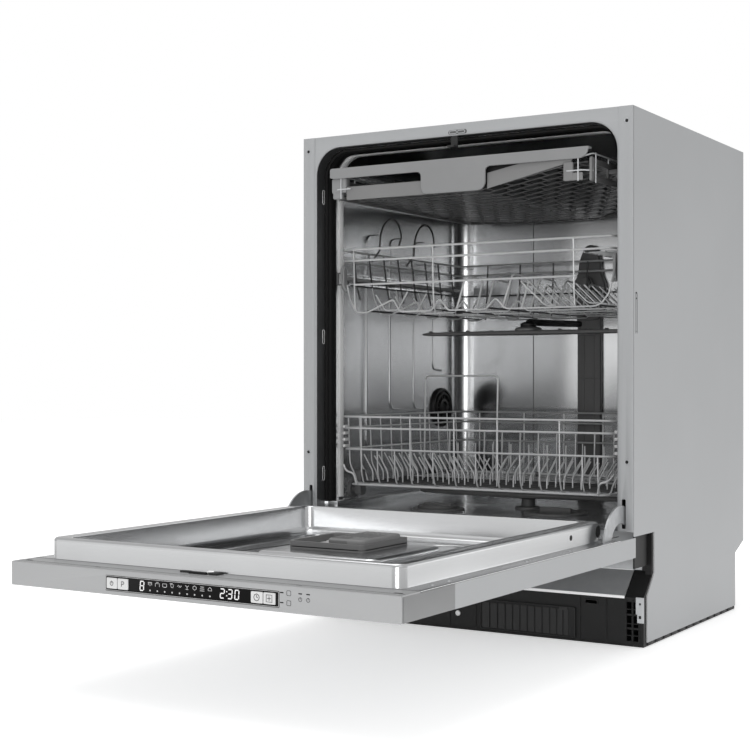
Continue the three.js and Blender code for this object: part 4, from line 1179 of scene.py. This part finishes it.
def tine_row():
    """The folding row of tines on its rod."""
    s = Span("tine_row")
    z, depth = s.z0 + 3, 300
    rod = [[(s.x0 + 0.2, depth, z), (s.x1 - 0.2, depth, z)]]
    tines = []
    for k in range(11):
        x = -180 + 36 * k
        tines.append(rounded([(x, depth, z), (x, depth, z + 30), (x + 1.2, depth - 0.5, s.z1 - 0.5)], 8))
    for k in range(10):
        x = -162 + 36 * k
        tines.append([(x, depth, z), (x, depth, z + 52)])
    clips = [lathe("x", (x, depth, z), [(3, -5), (4.4, -4), (4.4, 4), (3, 5)], 14)
             for x in (-184, 0.5, 184)]
    place("folding_tines", merged(wires(rod, 2.4), wires(tines, 1.7)), "tine_row", "coated_wire",
          replaces=("tine_row",))
    place("folding_tine_clips", merged(*clips), "tine_row", "coated_wire", MID_GREY)


def wheels():
    """Four turned wheels with spokes."""
    profile = [(2, 2.6), (5, 2.6), (5.6, 1.4), (11, 1.2), (12.4, 3.3), (15, 3.5), (15.9, 2.6), (16, 0),
               (15.9, -2.6), (15, -3.5), (12.4, -3.3), (11, -1.2), (6.2, -1.4), (6, -6.3), (2, -6.4)]
    for end in ("front", "rear"):
        for side, name in SIDES:
            node = f"wheel_{end}_{name}"
            s = Span(node)
            x = side * 260
            tyre = lathe("x", (x, s.depth, s.z), [(r, side * along) for r, along in profile], 32)
            ends = zip(circle(s.depth, s.z, 5, 6), circle(s.depth, s.z, 12, 6))
            spokes = [[(x + side * 1.6, *near), (x + side * 1.8, *far)] for near, far in ends]
            place(f"{node}_turned", merged(tyre, wires(spokes, 0.9, 1)), node, "grey_plastic",
                  replaces=(node,))


def upper_basket():
    """Rims, a wavy floor, arches, combs, cup hooks, runners and levers."""
    s = UPPER
    half, low = s.x1 - 12.2, s.z0 + 2.2
    front, back = s.d0 + 2.2, s.d1 - 2.2
    rim, waist = 630.8, 571
    thick, thin, dark = [], [], []
    for z, inset in ((rim, 0), (612, 1.5)):
        thick.append(flat_ring(z, inset - half, half - inset, front + inset / 2, back - inset, 14, 5))
    thick.append([(-227, front + 3, waist), (187, front + 3, waist)])
    dark.append(rounded([(-half + 8, front + 20, waist), (-half + 8, back - 6, waist),
                         (half - 8, back - 6, waist), (half - 8, front + 20, waist)], 14))
    floor_run = [(-226, 0), (-203, 0), (-152, 21), (-139, 0), (-78, 0), (-62, 20), (-46, 0), (24, 0),
                 (42, 18), (60, 0), (122, 0), (214, 0), (226, 4)]
    for k in range(6):
        d = front + 8 + (back - front - 24) * k / 5
        run = [(x, d, low + rise) for x, rise in floor_run]
        thin.append(rounded([(-half + 8, d, waist), (-half + 14, d, low + 24), *run,
                             (half - 14, d, low + 20), (half - 8, d, waist)], 5, 3))
    for x in (-226, -71, 182):
        thin.append(rounded([(x, front, rim), (x, front + 3, 545), (x, front + 6, low),
                             (x, front + 30, low)], 7))
    for x in (-203, -78, 24, 122, 214):
        dark.append([(x, front + 8, low + 2.4), (x, back - 14, low + 2.4)])
    for x in (-190, -120, -50, 20, 90, 160, 225):
        dark.append([(x, back - 2, 630), (x, back - 6, waist), (x, back - 12, low + 1)])
    for k in range(8):
        d = front + 40 + 50 * k
        for side in (-1, 1):
            dark.append([(side * (half - 0.6), d, 630), (side * (half - 8), d, waist),
                         (side * (half - 14), d, low + 24)])
    place("upper_basket_rims", wires(thick, 1.9), "upper_rack", "coated_wire", replaces=("upper_basket",))
    place("upper_basket_wires", wires(thin, 1.45), "upper_rack", "coated_wire")
    # The far wires take the darker wire as painted shade.
    place("upper_basket_far_wires", wires(dark, 1.5), "upper_rack", "coated_wire", SHADED_WIRE)
    arches, comb = [], []
    for x, tall, lean in ((-34, 58, 14), (50, 58, 16)):
        for k in range(4):
            d = front + 16 + 104 * k
            arches.append(rounded([(x, d, low + 3), (x + lean, d + 6, low + tall),
                                   (x + lean + 8, d + 52, low + tall - 6), (x + 4, d + 62, low + 3)], 9,
                                  4))
    for k in range(12):
        d = front + 14 + 32 * k
        comb.append(rounded([(84, d, low + 44), (128, d, low + 3), (146, d, low + 3)], 6, 3))
        comb.append(rounded([(160, d + 14, low + 40), (196, d + 14, low + 6), (214, d + 14, low + 6)], 6,
                            3))
        if k % 2 == 0:
            comb.append(rounded([(-190, d, low + 30), (-172, d, low + 3), (-150, d + 6, low + 3),
                                 (-132, d + 8, low + 34)], 5, 3))
    place("upper_basket_arches", wires(arches, 1.7), "upper_rack", "coated_wire")
    place("upper_basket_comb", wires(comb, 1.3), "upper_rack", "coated_wire")
    arcs = []
    for d in (96, 214):
        points = []
        for k in range(13):
            angle = math.radians(180 - 165 * k / 12)
            points.append((-205 + 3 * math.sin(angle), d + 36 + 36 * math.cos(angle),
                           650 + 40 * math.sin(angle)))
        arcs.append([(-222, d, 613), (-206, d, 632), *points, (-206, d + 66, 646)])
    # The cup hooks take the darker wire as painted shade.
    place("upper_basket_cup_hooks", wires(arcs, 1.7), "upper_rack", "coated_wire", SHADED_WIRE)
    for side, name in SIDES:
        x = side * half
        runner = [plate("x", [rectangle(64, 470, 580.5, 586, 2)], *handed(side, 250, 255), 1, 2)]
        for d in (90, 250, 440):
            runner.append(lathe("x", (side * 259.5, d, 583),
                                [(3, -5), (4.6, -4.6), (4.8, 0), (4.8, 4.6), (2, 5)], 20))
        place(f"upper_runner_{name}", merged(*runner), "upper_rack", "coated_wire", RAIL_GREY)
        grip = rounded([(x - side * 2, front + 4, 604), (x - side * 1, front - 0.1, 592),
                        (x - side * 2, front + 1, 574), (x - side * 8, front + 6, 560)], 8)
        lever = plate("x", [[(46, 566), (52, 560), (58, 566), (56, 598), (50, 604), (45, 596)]],
                      *handed(side, 247, 252.5), 1.2, 2)
        place(f"upper_lever_{name}", merged(lever, wires([grip], 2)), "upper_rack", "coated_wire",
              RAIL_GREY)


def cup_shelf():
    """The folding shelf of zigzag wire at the right wall."""
    s = Span("cup_shelf")
    z = s.z
    paths = [[(240, s.d0 + 0.4, z), (240, s.d1 - 0.4, z)]]
    zig = []
    count = 30
    for k in range(count + 1):
        d = s.d0 + 6 + (s.d1 - s.d0 - 12) * k / count
        zig.append((s.x0 + 3 if k % 2 else s.x1 - 6, d, z))
    edge = [(s.x0 + 2, s.d0 + 4, z), (s.x0 + 2, s.d1 - 4, z)]
    bar = [(s.x, s.d0 + 4, z), (s.x, s.d1 - 4, z)]
    place("cup_shelf_wires", merged(wires(paths, 2.6), wires([rounded(zig, 5, 3), edge, bar], 1.35)),
          "cup_shelf", "coated_wire", replaces=("cup_shelf",))
    hinges = [lathe("y", (240, d, z), [(2.7, -6), (3.0, -5.6), (3.0, 5.6), (2.7, 6)], 14)
              for d in (140, 260, 380)]
    place("cup_shelf_clips", merged(*hinges), "cup_shelf", "coated_wire", MID_GREY)


# ---- Cutlery tray ----
def tray():
    """The front rail with its grip, the strip and wedge below it, the walls and the corner pieces."""
    s = TRAY
    half = 236
    front, back = s.d0, s.d1
    top, low = s.z1, s.z0
    rail_bottom, bend = 745, 15
    corner = []
    for k in range(7):
        angle = math.radians(15 * k)
        corner.append((half - 4 - bend + bend * math.sin(angle),
                       rail_bottom + bend * (1 - math.cos(angle))))
    rail_loop = [(-half, 747), (-half, top), (half - 2, top), *corner[::-1], (62, 745), (57, 741),
                 (57, 718), (52, 710), (44, low), (-48, low), (-56, 710), (-60, 718), (-60, 741),
                 (-65, 745), (8 - half, 745)]
    loop = softened(rail_loop, 4)
    face = plate("y", [loop], front, front + 4.5, 1.1, 3)
    lip = block((-half + 1, half - 3), (front + 2, front + 12), (top - 3.2, top - 0.2), 0.8)
    place("tray_front_rail", merged(face, lip), "tray", "grey_plastic", RAIL_GREY,
          replaces=("cutlery_tray",))
    strip = plate("y", [rectangle(-206, -50, 708.5, 731, 2.5)], front + 5.4, front + 8.6, 0.8, 2)
    wedge_loop = [(58, 710), (202, 741), (204, 748), (128, 748), (58, 735)]
    wedge = plate("y", [wedge_loop], front + 5.4, front + 8.6, 0.8, 2)
    # A black plate behind the strip and wedge stands for the dark gap there: painted shade.
    gap = plate("y", [[(50, 709), (62, 711), (202, 740), (202, 748), (50, 748)]], front + 9.2,
                front + 10.4, 0.3)
    side_walls = []
    for side in (-1, 1):
        loops = [rectangle(front + 12, back - 4, 712, 746, 4)]
        for k in range(8):
            d = front + 30 + 56 * k
            loops.append(rectangle(d, d + 46, 721, 737, 3))
        side_walls.append(plate("x", loops, *handed(side, half - 6, half - 2.6), 0.7, 2))
    back_wall = plate("y", [rectangle(-half + 6, half - 6, 712, 746, 4)], back - 6, back - 2.6, 0.7, 2)
    place("tray_strips", merged(strip, wedge), "tray", "grey_plastic", WEDGE_GREY)
    place("tray_gap_shade", gap, "tray", "grey_plastic", BLACK)
    place("tray_walls", merged(*side_walls, back_wall), "tray", "grey_plastic", DARK_GREY)
    guides = [block(handed(side, half - 3, 264.6), (62, 466), (728.5, 735.5), 0.9, 2) for side in (-1, 1)]
    place("tray_guides", merged(*guides), "tray", "grey_plastic", MID_GREY)
    for side, name in SIDES:
        outer = side * (half - 0.6)
        if side < 0:
            cap = [block(sorted((outer, side * 206)), (front + 3.5, front + 18), (721, 746), 2.5, 4),
                   block(handed(side, half - 3, 214), (front + 2.5, front + 16), (711, 724), 3.2, 5)]
            look = RAIL_GREY
        else:
            cap = [block((190, 206), (front + 2.5, front + 8), (712, 741), 2, 2),
                   block((204, 222), (front + 2.5, front + 7), (712, 724), 1.5, 2),
                   plate("x", [rectangle(front + 10, front + 20, 711, 748, 3)], half - 6, half - 2, 1, 2)]
            look = WEDGE_GREY
        place(f"tray_corner_{name}", merged(*cap), "tray", "grey_plastic", look)
        x = side * (half - 2)
        posts = [rounded([(x, 60, 744), (x, 60, 752), (x, 330, 752), (x, 330, 744)], 5),
                 [(side * 215, front + 2.6, 711), (side * 215, front + 2.6, 748)],
                 [(x, front + 26, 709), (x, front + 26, 755)],
                 rounded([(side * 215, front + 3, 746), (x, front + 14, 753), (x, front + 130, 753)], 5),
                 rounded([(side * 196, front + 2.6, 727), (side * 222, front + 2.6, 727),
                          (x, front + 16, 727)], 4)]
        place(f"tray_side_wire_{name}", wires(posts, 1.1), "tray", "grey_plastic", PALE_STEEL)


def tray_lattice():
    """The slatted floor, low in the middle and sloping up to the right, a near-black sheet over it as
    painted shade of the tray's inside, and its dividers.
    """
    s = TRAY
    front, back = s.d0 + 10, s.d1 - 7
    half = 228
    vertices, faces = [], []

    def level(x):
        return 708.2 + 31 * min(max((x - 44) / 160, 0), 1) + 6 * max(-x - 120, 0) / 108

    def slat(points, wide, tall, across):
        base = len(vertices)
        for x, d, z in points:
            for a, b in ((-wide, 0), (wide, 0), (wide, tall), (-wide, tall)):
                vertices.append(at(x + a * across[0], d + a * across[1], z + b))
        for i in range(len(points) - 1):
            for j in range(4):
                p, q = base + 4 * i + j, base + 4 * i + (j + 1) % 4
                faces.append((p, q, q + 4, p + 4))
        end = base + 4 * (len(points) - 1)
        faces.extend([(base + 3, base + 2, base + 1, base), (end, end + 1, end + 2, end + 3)])

    xs = sorted([-half + 2 * half * k / 12 for k in range(13)] + [-120, 44, 204])
    rows = 15
    pitch = (back - front) / rows
    for k in range(rows + 1):
        d = front + pitch * k
        slat([(x, d, level(x)) for x in xs], 2.2, 0.7, (0, 1))
    for k in range(rows):
        d = front + pitch * k
        for j in range(15):
            x = -half + 4 + 31 * (j + (0.5 if k % 2 else 0))
            if x < half - 2:
                slat([(x, d, level(x) + 0.2), (x, d + pitch, level(x) + 0.1)], 2.2, 0.8, (1, 0))
    place("tray_lattice", from_faces(vertices, faces), "tray", "grey_plastic", LATTICE_GREY, sharp=20)
    # A near-black sheet above the slats: painted shade of the tray's inside, seen through the slats from
    # below.
    vertices, faces = [], []
    slat([(x, (front + back) / 2, level(x) + 2.6) for x in xs], (back - front) / 2 - 2, 0.8, (0, 1))
    place("tray_shade_sheet", from_faces(vertices, faces), "tray", "grey_plastic", LOOKS["window_gloss"],
          sharp=20)
    walls = [block((x - 1, x + 1), (front + 4, back - 4), (level(x) + 3, 738), 0.5) for x in (-118, 0)]
    for d in (front + 150, front + 300):
        walls.append(block((-half + 4, 60), (d - 1, d + 1), (719, 733), 0.5))
    place("tray_dividers", merged(*walls), "tray", "grey_plastic", BLACK)


# ---- Spray arms, filter and salt cap ----
def spray_arm(name, node, body, look):
    """A hollow blade, thick at the hub and thin at its ends, with jets on top."""
    s = Span(node)
    cx, cd = ARM_X, ARM_DEPTH
    length = (s.x1 - s.x0) / 2
    z0, z1 = s.z0, s.z1 - 6
    vertices, faces = [], []
    stations, around = 32, 16
    for i in range(stations + 1):
        t = -1 + 2 * i / stations
        x = cx + t * (length - 0.5)
        end = math.sqrt(max(1 - abs(t) ** 18, 0.02))
        width = (13 + 15 * (1 - abs(t)) ** 1.3) * end
        tall = (z1 - z0) / 2 * (0.72 + 0.28 * (1 - abs(t))) * (0.4 + 0.6 * end)
        middle = (z0 + z1) / 2
        for j in range(around):
            angle = 2 * math.pi * j / around
            c, sn = math.cos(angle), math.sin(angle)
            vertices.append(at(x, cd + width * math.copysign(abs(c) ** 0.7, c),
                               middle + tall * math.copysign(abs(sn) ** 0.6, sn)))
    for i in range(stations):
        for j in range(around):
            nxt = (j + 1) % around
            faces.append((i * around + j, i * around + nxt, (i + 1) * around + nxt, (i + 1) * around + j))
    last = stations * around
    faces += [tuple(range(around)), tuple(range(last, last + around))]
    blade = from_faces(vertices, faces)
    hub = lathe("z", (cx, cd, z0),
                [(12, 0.2), (21, 0.4), (23.6, 1.6), (24, 4), (24, s.z1 - z0 - 4), (21, s.z1 - z0 - 1.4),
                 (15, s.z1 - z0 - 0.2), (4, s.z1 - z0)], 32)
    jets = []
    for t, off in ((-0.92, 0), (-0.74, 5), (-0.55, -6), (-0.36, 8), (0.3, -8), (0.5, 6), (0.7, -5),
                   (0.9, 0)):
        jets.append(lathe("z", (cx + t * length, cd + off, z1),
                          [(0.8, 0.4), (1.2, 1.1), (2.8, 1.2), (3.6, 0.4), (4, -2.4)], 14))
    place(f"{name}_blade", merged(blade, hub, *jets), body, "grey_plastic", look, replaces=(node,),
          sharp=45)


def upper_feed():
    """The pipe under the upper basket that brings water from the duct to the arm's hub."""
    z = 506
    pipe = rounded([(5, 250, 503), (5, 252, z + 3), (10, 300, z + 3), (13, 400, z + 5), (13, 452, z + 6)],
                   14, 4)
    collar = lathe("z", (ARM_X, ARM_DEPTH, 500),
                   [(6, -0.8), (13, -0.6), (14, 1), (14, 6), (9, 9), (5, 9)], 24)
    place("upper_feed_pipe", merged(wires([pipe], 6), collar), "upper_rack", "grey_plastic", BLACK)


def filter_cup():
    """The filter with its grip and its fine upright screen."""
    s = Span("filter_cup")
    cx, cd = s.x, s.depth
    top = 184
    cup = lathe("z", (cx, cd, top),
                [(6, -65.8), (38, -65.8), (39.5, -64), (39.5, -9), (41.6, -7), (42, -2), (40.5, 0.4),
                 (34, 0.8), (31, -1.8), (8, -1.8)], 48)
    grip = block((cx - 29.5, cx + 29.5), (cd - 4.5, cd + 4.5), (top - 2, s.z1), 2.2, 4)
    mesh_wires = [[(*spot, top - 62), (*spot, top - 11)] for spot in circle(cx, cd, 39.8, 30)]
    place("filter_cup_turned", merged(cup, grip), "filter", "grey_plastic", DARK_GREY,
          replaces=("filter_cup",))
    place("filter_screen", wires(mesh_wires, 0.7, 1), "filter", "grey_plastic", LOOKS["zinc_steel"])


def salt_cap():
    """The screw cap of the salt store, with a grip and a knurled edge."""
    s = Span("salt_cap")
    cx, cd = s.x, s.depth
    cap = lathe("z", (cx, cd, 184.5),
                [(8, -12.8), (27, -12.8), (28, -11), (28, -0.2), (33.4, 0.2), (34, 1.6), (34, 5.4),
                 (32, 7), (24, 6.4), (8, 6.4)], 40)
    grip = block((cx - 27.5, cx + 27.5), (cd - 3.8, cd + 3.8), (189, s.z1), 1.6, 3)
    knurl = [[(*spot, 185.8), (*spot, 190.2)] for spot in circle(cx, cd, 33.4, 24)]
    place("salt_cap_turned", merged(cap, grip, wires(knurl, 0.55, 1)), "salt_cap", "grey_plastic",
          DARK_GREY, replaces=("salt_cap",))


for build in (front_frame, frame_clips, striker_eye, gasket, side_panels, back_details, tub_shell,
              tub_back, tub_edge, tub_beads, tub_floor, feed_duct, vent_cap, rails, base_front,
              service_panel, foot_adjuster, sill_strips, corner_brackets, liner, liner_beads,
              liner_fixings, fascia, latch, display, buttons, fascia_marks, dispenser, dispenser_lid,
              hinge_covers, lower_basket, tine_row, wheels, upper_basket, cup_shelf, tray, tray_lattice,
              upper_feed, filter_cup, salt_cap):
    build()
spray_arm("lower_arm", "spray_arm_lower", "lower_spray_arm", DARK_GREY)
spray_arm("upper_arm", "spray_arm_upper", "upper_spray_arm", DARK_GREY)
